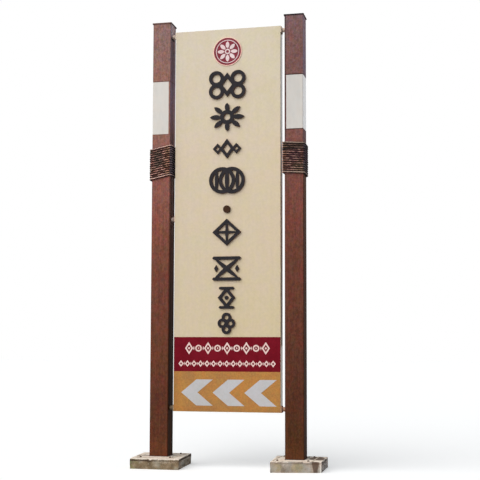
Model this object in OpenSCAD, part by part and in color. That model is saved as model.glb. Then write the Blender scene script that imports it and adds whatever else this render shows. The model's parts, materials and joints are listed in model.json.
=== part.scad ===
// Free-standing pylon sign: two square posts on concrete pads with a box panel between them.
// Millimetres, +Z up. The origin is on the ground midway between the posts, and the front faces -Y.

/* [Posts] */
// Distance between the centres of the two posts
post_spacing = 1460; // [1400:10:1700]
// Width and depth of each square post
post_w = 200; // [180:5:220]
// Wall of the post tube
post_wall = 5; // [3:0.5:8]
// Outer corner radius of the post tube
post_corner = 8; // [5:1:12]
// Height of the post tube without its cap
post_h = 4680; // [4500:10:5200]
// Thickness of the cap plate
cap_t = 10; // [4:1:14]
// Overhang of the cap plate past the faces of the post
cap_over = 8; // [0:1:14]
// Depth of the plug skirt under the cap plate
cap_skirt = 30; // [20:1:60]

/* [Footings] */
// Width of each concrete pad, left to right
pad_w = 550; // [500:10:700]
// Depth of each concrete pad, front to back
pad_d = 640; // [580:10:800]
// Thickness of each concrete pad, with the base plate let in flush
pad_h = 112; // [100:1:200]
// Shift of a pad's front edge to the right of its back edge
pad_skew = 48; // [0:2:60]
// Chamfer along the top edges of a pad
pad_chamfer = 8; // [3:1:15]
// Radius of the upright corners of a pad
pad_corner = 18; // [8:1:30]
// Diameter of the conduit bore through a pad
conduit_d = 40; // [25:1:50]
// Diameter of the cable hole through the base plate
cable_hole_d = 60; // [52:1:90]
// Thickness of the base plate
plate_t = 12; // [8:1:16]
// Spacing of the anchor bolts, left to right
anchor_x = 320; // [280:5:370]
// Spacing of the anchor bolts, front to back
anchor_y = 410; // [300:5:450]
// Margin of the base plate outside the anchor bolts
plate_margin = 40; // [25:1:50]
// Diameter of an anchor bolt
anchor_d = 12; // [10:1:16]
// Depth to which an anchor bolt is set in the pad
anchor_set = 65; // [50:5:75]

/* [Lamps] */
// Height of the lamp window in a post
window_h = 578; // [560:1:700]
// Distance from the top of the post tube down to the window
window_drop = 648; // [300:1:900]
// Width of the strips of post beside the window, on the panel's side
window_return = 18; // [16:1:26]
// Thickness of the opal sheet of the diffuser
opal_t = 4; // [3:0.5:5]
// Width of the diffuser's flange above and below the window
flange_w = 16; // [10:1:24]
// Length of the lamp tube between its holders
tube_len = 549; // [400:1:549]
// Diameter of the lamp tube
tube_d = 16; // [12:1:26]
// Distance from the tray to the middle of the lamp tube
holder_reach = 52; // [35:1:70]

/* [Rope] */
// Diameter of the rope
rope_d = 23.5; // [16:0.5:26]
// Number of turns of the rope round a post
rope_turns = 14; // [4:1:14]
// Distance from the foot of the lamp window down to the middle of the winding
rope_drop = 311; // [260:1:700]
// Rise of the left winding from left to right, per unit of width
left_rope_slope = 0.18; // [0:0.01:0.3]
// Rise of the right winding from left to right, per unit of width
right_rope_slope = -0.04; // [-0.3:0.01:0.3]

/* [Panel] */
// Width of the panel
panel_w = 1160; // [1120:5:1180]
// Depth of the panel, front to back
panel_d = 115; // [106:1:130]
// Distance of the panel's face behind the front of the posts
panel_recess = 38; // [25:1:60]
// Distance from the foot of the post up to the panel
panel_lift = 473; // [300:1:600]
// Distance from the top of the post tube down to the panel
panel_drop = 97; // [60:1:200]
// Thickness of the panel's sheet metal
sheet_t = 2; // [1.5:0.5:3]
// Width of the lips on which the back cover lies
lip_w = 22; // [16:1:30]
// Width of the frame's box section, seen from the front
section_w = 50; // [40:1:60]
// Depth of the frame's box section
section_d = 96; // [90:1:98]
// Wall of the frame's box section
section_wall = 3; // [2:0.5:5]
// Height of the ochre band
ochre_h = 423; // [380:1:460]
// Height of the red band
red_h = 363; // [300:1:400]
// Thickness of the bands
band_t = 1.5; // [1:0.5:3]

/* [Face] */
// Outer diameter of the medallion's pale ring
ring_d = 316; // [312:2:324]
// Diameter of the medallion's red disc
disc_d = 298; // [270:2:304]
// Thickness of the medallion's ring
ring_t = 8; // [6:1:14]
// Thickness of the raised black ornaments
ornament_t = 20; // [10:1:30]
// Width of the strokes of the ornaments
stroke = 38; // [30:1:42]
// Length of a chevron from its tip to its tails
chevron_l = 344; // [300:2:350]
// Height of a chevron
chevron_h = 274; // [240:2:300]
// Width of a chevron's arms, measured level
chevron_arm = 178; // [120:2:190]
// Distance from one chevron's tip to the next
chevron_pitch = 343; // [330:1:350]
// Thickness of the chevrons
chevron_t = 1; // [0.5:0.5:3]

/* [Brackets] */
// Outer diameter of a stub tube
stub_d = 46; // [30:1:46]
// Wall of a stub tube
stub_wall = 4; // [3:0.5:6]
// Thickness of a stub's flange
flange_t = 8; // [5:1:12]
// Height of a stub's flange
flange_h = 70; // [52:1:72]
// Distance of the outer brackets' axes from the panel's ends
bracket_inset = 36; // [36:1:60]
// Diameter of a bracket bolt
bolt_d = 10; // [8:1:10]

/* [Hidden] */
$fn = 48;

// Clearance round a screw, bolt or stud in its hole, on the radius
hole_gap = 0.5;
// Clearance between pieces that drop into each other
fit_gap = 0.3;
// Over-run of a cut past the face that it opens
cut = 1;

// Colours
wood_brown = [0.42, 0.24, 0.19];
cap_dark = [0.17, 0.13, 0.12];
opal = [0.86, 0.85, 0.82];
rope_brown = [0.30, 0.20, 0.17];
concrete = [0.60, 0.57, 0.51];
steel = [0.62, 0.63, 0.64];
beige = [0.82, 0.76, 0.66];
frame_grey = [0.45, 0.46, 0.48];
dark_red = [0.45, 0.10, 0.13];
ochre = [0.67, 0.47, 0.25];
chevron_grey = [0.78, 0.78, 0.80];
black = [0.14, 0.13, 0.14];
pale_rose = [0.86, 0.78, 0.76];
white_plastic = [0.90, 0.90, 0.90];

// Heights above the ground
foot_z = pad_h;
plate_z = pad_h - plate_t;
top_z = foot_z + post_h;
window_top = top_z - window_drop;
window_z = window_top - window_h;
window_mid = window_z + window_h / 2;
rope_mid = window_z - rope_drop;
panel_z = foot_z + panel_lift;
panel_top = top_z - panel_drop;
panel_h = panel_top - panel_z;

// Planes of the panel, from front to back, and its half widths
face_y = -post_w / 2 + panel_recess;
frame_y = face_y + sheet_t;
frame_mid_y = frame_y + section_d / 2;
back_y = face_y + panel_d;
cover_y = back_y - sheet_t;
lip_y = cover_y - sheet_t;
band_y = face_y - band_t;
side_x = panel_w / 2;
inner_x = side_x - sheet_t;
stile_x = inner_x - section_w;

// Inner half width of the post tube and its inner corner radius
tube_in = post_w / 2 - post_wall;
tube_corner = max(post_corner - post_wall, 1);

// Rectangle of w by d about the origin, with corners of radius r
module round_rect(w, d, r) {
    square([w - 2 * r, d], center = true);
    square([w, d - 2 * r], center = true);
    for (x = [-1, 1], y = [-1, 1])
        translate([x * (w / 2 - r), y * (d / 2 - r)]) circle(r);
}

// Puts children at the left (-1) or right (1) post, with their +X towards the panel
module at_post(side) {
    translate([side * post_spacing / 2, 0, 0])
        if (side < 0) children();
        else mirror([1, 0, 0]) children();
}

// Puts children on the four anchor axes of a post
module at_anchors() {
    for (x = [-1, 1], y = [-1, 1]) translate([x * anchor_x / 2, y * anchor_y / 2, 0]) children();
}

// Cylinder along +Y from the origin
module pin_y(d, h) {
    rotate([-90, 0, 0]) cylinder(d = d, h = h);
}

// Cylinder along +X from the origin
module pin_x(d, h) {
    rotate([0, 90, 0]) cylinder(d = d, h = h);
}

// Pan-head screw with its head standing on y = 0 and its shank along -Y
module pan_screw(d, len) {
    head_h = 0.6 * d;
    rotate([-90, 0, 0]) {
        translate([0, 0, -len]) cylinder(d = d, h = len);
        cylinder(d = 1.8 * d, h = head_h / 2);
        translate([0, 0, head_h / 2]) cylinder(d1 = 1.8 * d, d2 = 1.1 * d, h = head_h / 2);
    }
}

// Footings

// Angle by which a pad's sides lean for a given skew
function pad_lean(skew) = atan(skew / (pad_d - 2 * pad_corner));

// Outline of a pad whose front edge is set off to the right of its back edge by skew
module pad_outline(skew) {
    lean = pad_lean(skew);
    side = pad_corner * [cos(lean), sin(lean)];
    front = pad_corner * [0, -1];
    at = [
        for (q = [[-1, -1], [1, -1], [1, 1], [-1, 1]])
            [q.x * (pad_w / 2 - pad_corner) - q.y * skew / 2, q.y * (pad_d / 2 - pad_corner)]
    ];
    for (centre = at) translate(centre) circle(pad_corner);
    polygon([
        at[0] - side, at[0] + front, at[1] + front, at[1] + side,
        at[2] + side, at[2] - front, at[3] - front, at[3] - side
    ]);
}

// Pad with a pocket for the base plate
module footing(skew) {
    reach = pad_w + pad_d;
    edge = pad_chamfer * sqrt(2);
    pocket_gap = 2 * fit_gap;
    color(concrete) difference() {
        linear_extrude(pad_h) pad_outline(skew);
        for (s = [-1, 1]) {
            translate([s * pad_w / 2, 0, pad_h]) rotate([0, 0, pad_lean(skew)]) rotate([0, 45, 0])
                cube([edge, reach, edge], center = true);
            translate([0, s * pad_d / 2, pad_h]) rotate([45, 0, 0])
                cube([reach, edge, edge], center = true);
        }
        translate([0, 0, plate_z]) linear_extrude(plate_t + cut)
            round_rect(plate_w + pocket_gap, plate_d + pocket_gap, plate_corner + fit_gap);
        translate([0, 0, -cut]) cylinder(d = conduit_d, h = pad_h);
        at_anchors() translate([0, 0, plate_z - anchor_set])
            cylinder(d = anchor_d + 2 * hole_gap, h = anchor_set + cut);
    }
}

plate_w = anchor_x + 2 * plate_margin;
plate_d = anchor_y + 2 * plate_margin;
plate_corner = 15;

module base_plate() {
    color(steel) translate([0, 0, plate_z]) difference() {
        linear_extrude(plate_t) round_rect(plate_w, plate_d, plate_corner);
        translate([0, 0, -cut]) cylinder(d = cable_hole_d, h = plate_t + 2 * cut);
        at_anchors() translate([0, 0, -cut])
            cylinder(d = anchor_d + 4 * hole_gap, h = plate_t + 2 * cut);
    }
}

washer_t = 2;
washer_d = 2 * anchor_d;
nut_h = 0.6 * anchor_d;
nut_across = 1.73 * anchor_d;
stud_tip = 1;
stud_spare = 3;

module anchor_bolts() {
    stud_len = anchor_set + plate_t + washer_t + nut_h + stud_spare;
    color(steel) at_anchors() translate([0, 0, plate_z - anchor_set]) {
        cylinder(d = anchor_d, h = stud_len - stud_tip);
        translate([0, 0, stud_len - stud_tip])
            cylinder(d1 = anchor_d, d2 = anchor_d - 2 * stud_tip, h = stud_tip);
    }
}

module anchor_nuts() {
    color(steel) at_anchors() translate([0, 0, foot_z]) difference() {
        union() {
            cylinder(d = washer_d, h = washer_t);
            translate([0, 0, washer_t]) cylinder(d = nut_across, h = nut_h, $fn = 6);
        }
        translate([0, 0, -cut])
            cylinder(d = anchor_d + hole_gap, h = washer_t + nut_h + 2 * cut);
    }
}

// Posts. The lamp window leaves the wall on the panel's side and a strip at each side of it

window_x = post_w / 2 - window_return;
screw_d = 4;
skirt_wall = 4;
skirt_w = 2 * (tube_in - fit_gap);
cap_screw_x = post_w / 4;
cap_screw_z = top_z - cap_skirt / 2;
diffuser_screw_x = window_x + 4.5;
diffuser_screw_inset = 60;
diffuser_screw_z = [
    window_z + diffuser_screw_inset, window_mid, window_top - diffuser_screw_inset
];

module post_tube() {
    hole_d = screw_d + 2 * hole_gap;
    color(wood_brown) difference() {
        translate([0, 0, foot_z]) linear_extrude(post_h) difference() {
            round_rect(post_w, post_w, post_corner);
            round_rect(2 * tube_in, 2 * tube_in, tube_corner);
        }
        translate([-post_w, -post_w, window_z]) cube([post_w + window_x, 2 * post_w, window_h]);
        for (s = [-1, 1]) translate([s * cap_screw_x, tube_in - cut, cap_screw_z])
            pin_y(hole_d, post_wall + 2 * cut);
        for (z = diffuser_screw_z) translate([diffuser_screw_x, tube_in - cut, z])
            pin_y(hole_d, post_wall + 2 * cut);
    }
}

module post_cap() {
    skirt_corner = post_corner;
    plate_across = post_w + 2 * cap_over;
    color(cap_dark) difference() {
        union() {
            translate([0, 0, top_z]) linear_extrude(cap_t)
                round_rect(plate_across, plate_across, post_corner);
            translate([0, 0, top_z - cap_skirt]) linear_extrude(cap_skirt) difference() {
                round_rect(skirt_w, skirt_w, skirt_corner);
                square(skirt_w - 2 * skirt_wall, center = true);
            }
        }
        for (s = [-1, 1]) translate([s * cap_screw_x, skirt_w / 2 - skirt_wall - cut, cap_screw_z])
            pin_y(screw_d + hole_gap, skirt_wall + 2 * cut);
    }
}

module cap_screws() {
    color(steel) for (s = [-1, 1]) translate([s * cap_screw_x, post_w / 2, cap_screw_z])
        pan_screw(screw_d, post_wall + skirt_wall + 3);
}

// Lamps

// Band between two squares about the post's axis, open towards the panel and ending at x = end
module u_band(outer, inner, end) {
    difference() {
        round_rect(2 * outer, 2 * outer, post_corner);
        translate([-inner, -inner]) square([2 * outer, 2 * inner]);
        translate([end, -outer - cut]) square([2 * outer, 2 * outer + 2 * cut]);
    }
}

module lamp_diffuser() {
    flush = post_w / 2 - hole_gap;
    behind = tube_in - fit_gap;
    flange_end = window_x + 9;
    face_h = window_h - 2 * fit_gap;
    pocket_h = face_h - 2 * opal_t;
    color(opal) difference() {
        union() {
            translate([0, 0, window_mid - face_h / 2]) linear_extrude(face_h)
                u_band(flush, behind - opal_t, window_x - fit_gap);
            translate([0, 0, window_z - flange_w]) linear_extrude(window_h + 2 * flange_w)
                u_band(behind, behind - opal_t, flange_end);
        }
        translate([0, 0, window_mid - pocket_h / 2]) linear_extrude(pocket_h)
            u_band(flush - opal_t, behind - opal_t - cut, window_x - fit_gap - opal_t);
        for (z = diffuser_screw_z) translate([diffuser_screw_x, behind - opal_t - cut, z])
            pin_y(screw_d + hole_gap, opal_t + 2 * cut);
    }
}

module diffuser_screws() {
    color(steel) for (z = diffuser_screw_z) translate([diffuser_screw_x, post_w / 2, z])
        pan_screw(screw_d, post_wall + opal_t + 3);
}

tray_t = 1.5;
tray_w = 50;
tray_d = 20;
holder_t = 12;
holder_w = 26;
tray_len = tube_len + 2 * holder_t + 2;
tray_face = tube_in - tray_t;
tube_x = tray_face - holder_reach;
pin_d = 2.4;
pin_len = 7;
pin_offset = 2.5;

module lamp_tray() {
    color(white_plastic) translate([0, 0, window_mid - tray_len / 2]) linear_extrude(tray_len)
        difference() {
            translate([tube_in - tray_d, -tray_w / 2]) square([tray_d, tray_w]);
            translate([tube_in - tray_d - cut, -tray_w / 2 + tray_t])
                square([tray_d + cut - tray_t, tray_w - 2 * tray_t]);
        }
}

module lamp_holders() {
    color(white_plastic) for (s = [-1, 1]) difference() {
        translate([0, 0, window_mid + s * (tube_len + holder_t) / 2 - holder_t / 2])
            linear_extrude(holder_t) {
                translate([tube_x, -holder_w / 2]) square([holder_reach, holder_w]);
                translate([tube_x, 0]) circle(d = holder_w);
            }
        for (y = [-1, 1]) translate([tube_x, y * pin_offset, window_mid + s * tube_len / 2])
            cylinder(d = pin_d + 2 * fit_gap, h = 2 * (pin_len + fit_gap), center = true);
    }
}

module lamp_tube() {
    end_len = 14;
    color(white_plastic) translate([tube_x, 0, window_mid]) {
        cylinder(d = tube_d - 0.6, h = tube_len - 2 * end_len, center = true);
        for (s = [-1, 1]) {
            translate([0, 0, s * (tube_len - end_len) / 2])
                cylinder(d = tube_d, h = end_len, center = true);
            for (y = [-1, 1]) translate([0, y * pin_offset, s * tube_len / 2])
                cylinder(d = pin_d, h = 2 * pin_len, center = true);
        }
    }
}

// Ballast with two screwed ears, on the wall under the tray
module lamp_gear() {
    gear_len = 180;
    gear_w = 34;
    gear_d = 28;
    ear_len = 14;
    ear_t = 2;
    color(white_plastic) translate([tube_in, 0, window_mid - tray_len / 2 - gear_len / 2 - 60])
        difference() {
            union() {
                translate([-gear_d / 2, 0, 0]) cube([gear_d, gear_w, gear_len], center = true);
                translate([-ear_t / 2, 0, 0])
                    cube([ear_t, gear_w, gear_len + 2 * ear_len], center = true);
            }
            for (s = [-1, 1]) translate([-ear_t - cut, 0, s * (gear_len + ear_len) / 2])
                pin_x(screw_d + hole_gap, ear_t + 2 * cut);
        }
}

// Rope winding: one tube of six sides that runs round the post in a tilted helix

rope_sides = 6;
corner_rings = 6;
turn_rings = 4 * corner_rings;
turn_gap = 0.6;
// The tube lies flat side to the post
rope_out = post_w / 2 + fit_gap + rope_d / 2 * cos(180 / rope_sides);
rope_corner = post_corner + rope_out - post_w / 2;
run_len = 2 * (rope_out - rope_corner);
arc_len = rope_corner * PI / 2;
turn_len = 4 * (run_len + arc_len);

function rope_pitch(slope) = (rope_d + turn_gap) * sqrt(1 + slope * slope);

// Ring of points across the rope at angle a round the post, at length s along the rope
function rope_ring(centre, a, s, slope) =
    let (
        pitch = rope_pitch(slope),
        z = pitch * (s / turn_len - rope_turns / 2) + slope * centre.x,
        rise = pitch / turn_len - slope * sin(a),
        out = [cos(a), sin(a), 0],
        up = [rise * sin(a), -rise * cos(a), 1] / sqrt(1 + rise * rise)
    ) [
        for (k = [0 : rope_sides - 1])
            let (b = 90 + 360 * k / rope_sides)
                [centre.x, centre.y, z] + rope_d / 2 * (cos(b) * out + sin(b) * up)
    ];

// Ring on a corner of a turn, n counting from the middle of the post's back
function corner_ring(n, slope) =
    let (
        corner = floor(n / corner_rings),
        step = (n % corner_rings) / (corner_rings - 1),
        a = 90 * (1 + corner + step),
        q = 135 + 90 * corner,
        core = (rope_out - rope_corner) * sqrt(2),
        s = run_len / 2 + corner * (run_len + arc_len) + step * arc_len
    ) rope_ring([core * cos(q), core * sin(q)] + rope_corner * [cos(a), sin(a)], a, s, slope);

function rope_rings(slope) = [
    rope_ring([0, rope_out], 90, 0, slope),
    for (n = [0 : rope_turns * turn_rings - 1]) corner_ring(n, slope),
    rope_ring([0, rope_out], 90, rope_turns * turn_len, slope)
];

// Least distance between points of a turn and points of the next turn
function rope_gap(rings) = min([
    for (i = [1 : len(rings) - turn_rings - 2], a = rings[i], b = rings[i + turn_rings]) norm(a - b)
]);

module rope(slope) {
    rings = rope_rings(slope);
    last = len(rings) - 1;
    echo("least gap of the rope to itself", rope_gap(rings));
    color(rope_brown) translate([0, 0, rope_mid]) polyhedron(
        points = [for (ring = rings) each ring],
        faces = [
            for (k = [1 : rope_sides - 2]) [0, k, k + 1],
            for (i = [0 : last - 1], k = [0 : rope_sides - 1])
                let (
                    a = i * rope_sides + k,
                    b = i * rope_sides + (k + 1) % rope_sides,
                    c = a + rope_sides,
                    d = b + rope_sides
                ) each [[a, c, b], [b, c, d]],
            for (k = [1 : rope_sides - 2]) [0, k + 1, k] + last * rope_sides * [1, 1, 1]
        ],
        convexity = 12
    );
}

// Panel

fold_r = 3;
bolt_washer_d = 2 * bolt_d;
bolt_off = stub_d / 2 + bolt_washer_d / 2 + 2;
flange_d = 2 * (bolt_off + bolt_washer_d / 2 + 3);
low_bracket_z = panel_z + bracket_inset;
high_bracket_z = panel_top - bracket_inset;
mid_bracket_z = (panel_z + panel_top) / 2;

// Heights of the brackets at the left (-1) and right (1) side
function bracket_heights(side) =
    side < 0 ? [low_bracket_z, mid_bracket_z, high_bracket_z] : [low_bracket_z, high_bracket_z];

// Puts children on the bracket bolts' axes, on the panel's side face and with +X outwards
module at_bracket_bolts(side) {
    for (z = bracket_heights(side), s = [-1, 1])
        translate([side * side_x, frame_mid_y + s * bolt_off, z])
            rotate([0, 0, side < 0 ? 180 : 0]) children();
}

// Block between two x, two y and two z
module block(x0, x1, y0, y1, z0, z1) {
    translate([x0, y0, z0]) cube([x1 - x0, y1 - y0, z1 - z0]);
}

// Positions of the back cover's screws
back_screw_rows = 9;
back_screw_columns = 3;
back_screw_x = inner_x - lip_w / 2;
back_screw_low = panel_z + sheet_t + lip_w / 2;
back_screw_high = panel_top - sheet_t - lip_w / 2;
back_screw_step = (back_screw_high - back_screw_low) / (back_screw_rows - 1);

module at_back_screws() {
    for (x = [-1, 1], i = [0 : back_screw_rows - 1])
        translate([x * back_screw_x, back_y, back_screw_low + i * back_screw_step]) children();
    for (z = [back_screw_low, back_screw_high], i = [1 : back_screw_columns])
        translate([(2 * i / (back_screw_columns + 1) - 1) * back_screw_x, back_y, z]) children();
}

module panel_shell() {
    lip_x = inner_x - lip_w;
    low = panel_z + sheet_t;
    high = panel_top - sheet_t;
    color(beige) difference() {
        translate([0, (face_y + back_y) / 2, panel_z]) linear_extrude(panel_h)
            round_rect(panel_w, panel_d, fold_r);
        block(-inner_x, inner_x, frame_y, lip_y, low, high);
        block(-inner_x, inner_x, cover_y, back_y + cut, low, high);
        block(-lip_x, lip_x, lip_y - cut, cover_y + cut, low + lip_w, high - lip_w);
        for (side = [-1, 1]) at_bracket_bolts(side)
            translate([-sheet_t - cut, 0, 0]) pin_x(bolt_d + 2 * hole_gap, sheet_t + 2 * cut);
        at_back_screws() translate([0, -2 * sheet_t - cut, 0])
            pin_y(screw_d + hole_gap, 2 * sheet_t + 2 * cut);
    }
}

module back_cover() {
    x = inner_x - fit_gap;
    color(beige) difference() {
        block(-x, x, cover_y, back_y, panel_z + sheet_t + fit_gap, panel_top - sheet_t - fit_gap);
        at_back_screws() translate([0, -sheet_t - cut, 0])
            pin_y(screw_d + 2 * hole_gap, sheet_t + 2 * cut);
    }
}

module back_screws() {
    color(steel) at_back_screws() pan_screw(screw_d, 2 * sheet_t + 4);
}

// Box section of length len, standing on the origin
module box_section(len) {
    linear_extrude(len) difference() {
        round_rect(section_w, section_d, 2 * section_wall);
        round_rect(section_w - 2 * section_wall, section_d - 2 * section_wall, section_wall);
    }
}

boss_len = 8;

module stile(side) {
    x = side * (inner_x - section_w / 2);
    color(frame_grey) difference() {
        union() {
            translate([x, frame_mid_y, panel_z + sheet_t]) box_section(panel_h - 2 * sheet_t);
            at_bracket_bolts(side) translate([-sheet_t - section_wall - boss_len, 0, 0])
                pin_x(1.6 * bolt_d, boss_len + section_wall / 2);
        }
        at_bracket_bolts(side) translate([-sheet_t - section_wall - boss_len - cut, 0, 0])
            pin_x(bolt_d + 2 * hole_gap, section_wall + boss_len + 2 * cut);
    }
}

// Rail between the stiles, with its middle at height z
module rail(z) {
    color(frame_grey) translate([-stile_x, frame_mid_y, z]) rotate([0, 90, 0])
        box_section(2 * stile_x);
}

top_rail_z = panel_top - sheet_t - section_w / 2;
bottom_rail_z = panel_z + sheet_t + section_w / 2;
middle_rail_z = (top_rail_z + bottom_rail_z) / 2;

module band(tone, z0, z1) {
    x = side_x - fold_r;
    color(tone) block(-x, x, band_y, face_y, z0, z1);
}

band_foot = panel_z + fold_r;
ochre_top = panel_z + ochre_h;
red_top = ochre_top + red_h;

// Chevrons pointing left, set a little to the right of the middle
chevron_shift = 22;
chevron_z = panel_z + 202;
chevron_count = 3;

module arrows() {
    row = (chevron_count - 1) * chevron_pitch + chevron_l;
    color(chevron_grey) for (i = [0 : chevron_count - 1])
        translate([chevron_shift - row / 2 + i * chevron_pitch, band_y, chevron_z])
            rotate([90, 0, 0]) linear_extrude(chevron_t) polygon([
                [0, 0], [chevron_l - chevron_arm, chevron_h / 2], [chevron_l, chevron_h / 2],
                [chevron_arm, 0], [chevron_l, -chevron_h / 2], [chevron_l - chevron_arm, -chevron_h / 2]
            ]);
}

// Face column: medallion, four large ornaments, a dot, two large ones and two small ones.
// The figures keep their sizes, and the gaps share what is left of the beige field.

figure_w = [ring_d, 405, 380, 312, 392, 80, 314, 316, 190, 190];
figure_h = [ring_d, 309, 305, 214, 286, 80, 287, 257, 232, 227];
gap_share = [90, 55, 46, 84, 93, 129, 63, 116, 66, 41, 31];

function total(list, n) = n == 0 ? 0 : list[n - 1] + total(list, n - 1);

field_h = panel_top - red_top;
gap_unit = (field_h - total(figure_h, len(figure_h))) / total(gap_share, len(gap_share));

// Height of the middle of figure i, counted from the medallion down
function figure_z(i) =
    panel_top - gap_unit * total(gap_share, i + 1) - total(figure_h, i) - figure_h[i] / 2;

// Puts a flat outline on the face at figure i's place and gives it thickness t
module on_face(i, t, y = face_y) {
    translate([0, y, figure_z(i)]) rotate([90, 0, 0]) linear_extrude(t) children();
}

module medallion_ring() {
    bead = ring_t / 4;
    color(pale_rose) translate([0, face_y, figure_z(0)]) rotate([90, 0, 0])
        rotate_extrude($fn = 96) difference() {
            translate([disc_d / 2 + fit_gap, 0]) square([(ring_d - disc_d) / 2 - fit_gap, ring_t]);
            translate([ring_d / 2, ring_t]) rotate(45) square(bead, center = true);
            translate([disc_d / 2 + fit_gap, ring_t]) rotate(45) square(bead, center = true);
        }
}

disc_t = ring_t / 2;

module medallion_disc() {
    color(dark_red) on_face(0, disc_t) circle(d = disc_d, $fn = 96);
}

// Pointed petal of length l along X and width w, made of two arcs
module petal(l, w) {
    r = (l * l + w * w) / (4 * w);
    intersection() {
        translate([0, r - w / 2]) circle(r, $fn = 240);
        translate([0, w / 2 - r]) circle(r, $fn = 240);
    }
}

// Ring of outer radius r and band width t
module hoop(r, t) {
    difference() {
        circle(r, $fn = 96);
        circle(r - t, $fn = 96);
    }
}

// Lozenge of w by h, and an open lozenge with bands about t wide
module lozenge(w, h) {
    polygon([[-w / 2, 0], [0, h / 2], [w / 2, 0], [0, -h / 2]]);
}

module open_lozenge(w, h, t) {
    side = sqrt(w * w + h * h);
    difference() {
        lozenge(w, h);
        lozenge(w - 2 * t * side / h, h - 2 * t * side / w);
    }
}

rosette_t = 2;
rosette_petals = 8;

module medallion_rosette() {
    r = disc_d / 2;
    color(pale_rose) on_face(0, rosette_t, face_y - disc_t) {
        hoop(0.86 * r, 0.05 * r);
        for (i = [0 : rosette_petals - 1]) rotate(360 * i / rosette_petals)
            translate([0.49 * r, 0]) petal(0.52 * r, 0.27 * r);
        hoop(0.2 * r, 0.09 * r);
    }
}

// Level bar of length l and width t with pointed ends
module bar(l, t) {
    polygon([
        [-l / 2, 0], [(t - l) / 2, t / 2], [(l - t) / 2, t / 2],
        [l / 2, 0], [(l - t) / 2, -t / 2], [(t - l) / 2, -t / 2]
    ]);
}

// Four hoops round an open lozenge
module knot(w, h) {
    r = 0.27 * h;
    for (x = [-1, 1], y = [-1, 1]) translate([x * (w / 2 - r), y * (h / 2 - r)]) hoop(r, stroke);
    open_lozenge(0.5 * w, 0.86 * h, stroke);
}

// Hoop with eight petals, the level ones longest
module star(w, h) {
    core = 0.19 * h;
    wide = 1.35 * stroke;
    slant = 0.59 * h;
    hoop(core + stroke / 2, 1.1 * stroke);
    for (s = [-1, 1]) {
        translate([s * (core + w / 2) / 2, 0]) petal(w / 2 - core, wide);
        translate([0, s * (core + h / 2) / 2]) rotate(90) petal(h / 2 - core, wide);
        for (a = [-38, 38]) rotate(a) translate([s * (core + slant) / 2, 0])
            petal(slant - core, wide);
    }
}

// Chain of three open lozenges
module chain(w, h) {
    open_lozenge(0.52 * w, h, 0.85 * stroke);
    for (s = [-1, 1]) translate([s * 0.33 * w, 0]) open_lozenge(0.34 * w, 0.54 * h, 0.62 * stroke);
}

// Two linked hoops, each with an upright petal, and one between them
module linked(w, h) {
    r = h / 2;
    for (s = [-1, 1]) translate([s * (w / 2 - r), 0]) {
        hoop(r, stroke);
        translate([s * 0.42 * r, 0]) rotate(90) petal(0.9 * h, stroke);
    }
    rotate(90) petal(0.86 * h, 1.2 * stroke);
}

// Open lozenge with a cross of petals
module lattice(w, h) {
    open_lozenge(w, h, 0.85 * stroke);
    petal(0.9 * w, 0.8 * stroke);
    rotate(90) petal(0.9 * h, 0.8 * stroke);
}

// Crossed petals and two lozenges between two bars
module crossed(w, h) {
    bar_h = 0.9 * stroke;
    for (s = [-1, 1]) {
        translate([0, s * (h - bar_h) / 2]) bar(w, bar_h);
        rotate(s * atan(h / w)) petal(1.02 * sqrt(w * w + h * h) - bar_h, 1.15 * stroke);
        translate([s * 0.36 * w, 0]) lozenge(1.2 * stroke, 2 * stroke);
    }
}

// Upright open lozenge with a dot, between two bars
module eye(w, h) {
    bar_h = 0.75 * stroke;
    open_lozenge(w, h, 0.85 * stroke);
    circle(0.55 * stroke);
    for (s = [-1, 1]) translate([0, s * (h - bar_h) / 2]) bar(0.9 * w, bar_h);
}

// Four hoops set crosswise
module clover(w, h) {
    r = 0.27 * w;
    for (s = [-1, 1]) {
        translate([s * (w / 2 - r), 0]) hoop(r, 0.78 * stroke);
        translate([0, s * (h / 2 - r)]) hoop(r, 0.78 * stroke);
    }
}

module ornament(i) {
    color(black) on_face(i, ornament_t)
        if (i == 1) knot(figure_w[i], figure_h[i]);
        else if (i == 2) star(figure_w[i], figure_h[i]);
        else if (i == 3) chain(figure_w[i], figure_h[i]);
        else if (i == 4) linked(figure_w[i], figure_h[i]);
        else if (i == 5) circle(d = figure_w[i]);
        else if (i == 6) lattice(figure_w[i], figure_h[i]);
        else if (i == 7) crossed(figure_w[i], figure_h[i]);
        else if (i == 8) eye(figure_w[i], figure_h[i]);
        else clover(figure_w[i], figure_h[i]);
}

// Brackets

side_gap = (post_spacing - post_w - panel_w) / 2;

// Stub from the post's inner face to the flange on the panel's side, at height z
module bracket(side, z) {
    color(frame_grey) translate([side * side_x, frame_mid_y, z])
        rotate([0, 0, side < 0 ? 180 : 0]) difference() {
            union() {
                rotate([0, 90, 0]) linear_extrude(flange_t) round_rect(flange_h, flange_d, 6);
                pin_x(stub_d, side_gap);
            }
            translate([flange_t, 0, 0]) pin_x(stub_d - 2 * stub_wall, side_gap);
            for (s = [-1, 1]) translate([-cut, s * bolt_off, 0])
                pin_x(bolt_d + 2 * hole_gap, flange_t + 2 * cut);
        }
}

bolt_head_h = 0.64 * bolt_d;
bolt_head_across = 1.96 * bolt_d;
bolt_washer_t = 2;

module bracket_bolts() {
    shank = sheet_t + section_wall + boss_len + 4;
    color(steel) for (side = [-1, 1]) at_bracket_bolts(side) {
        translate([-shank, 0, 0]) pin_x(bolt_d, shank + flange_t + bolt_washer_t + 1);
        translate([flange_t, 0, 0]) pin_x(bolt_washer_d, bolt_washer_t);
        translate([flange_t + bolt_washer_t, 0, 0]) rotate([0, 90, 0])
            cylinder(d = bolt_head_across, h = bolt_head_h, $fn = 6);
    }
}

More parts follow.
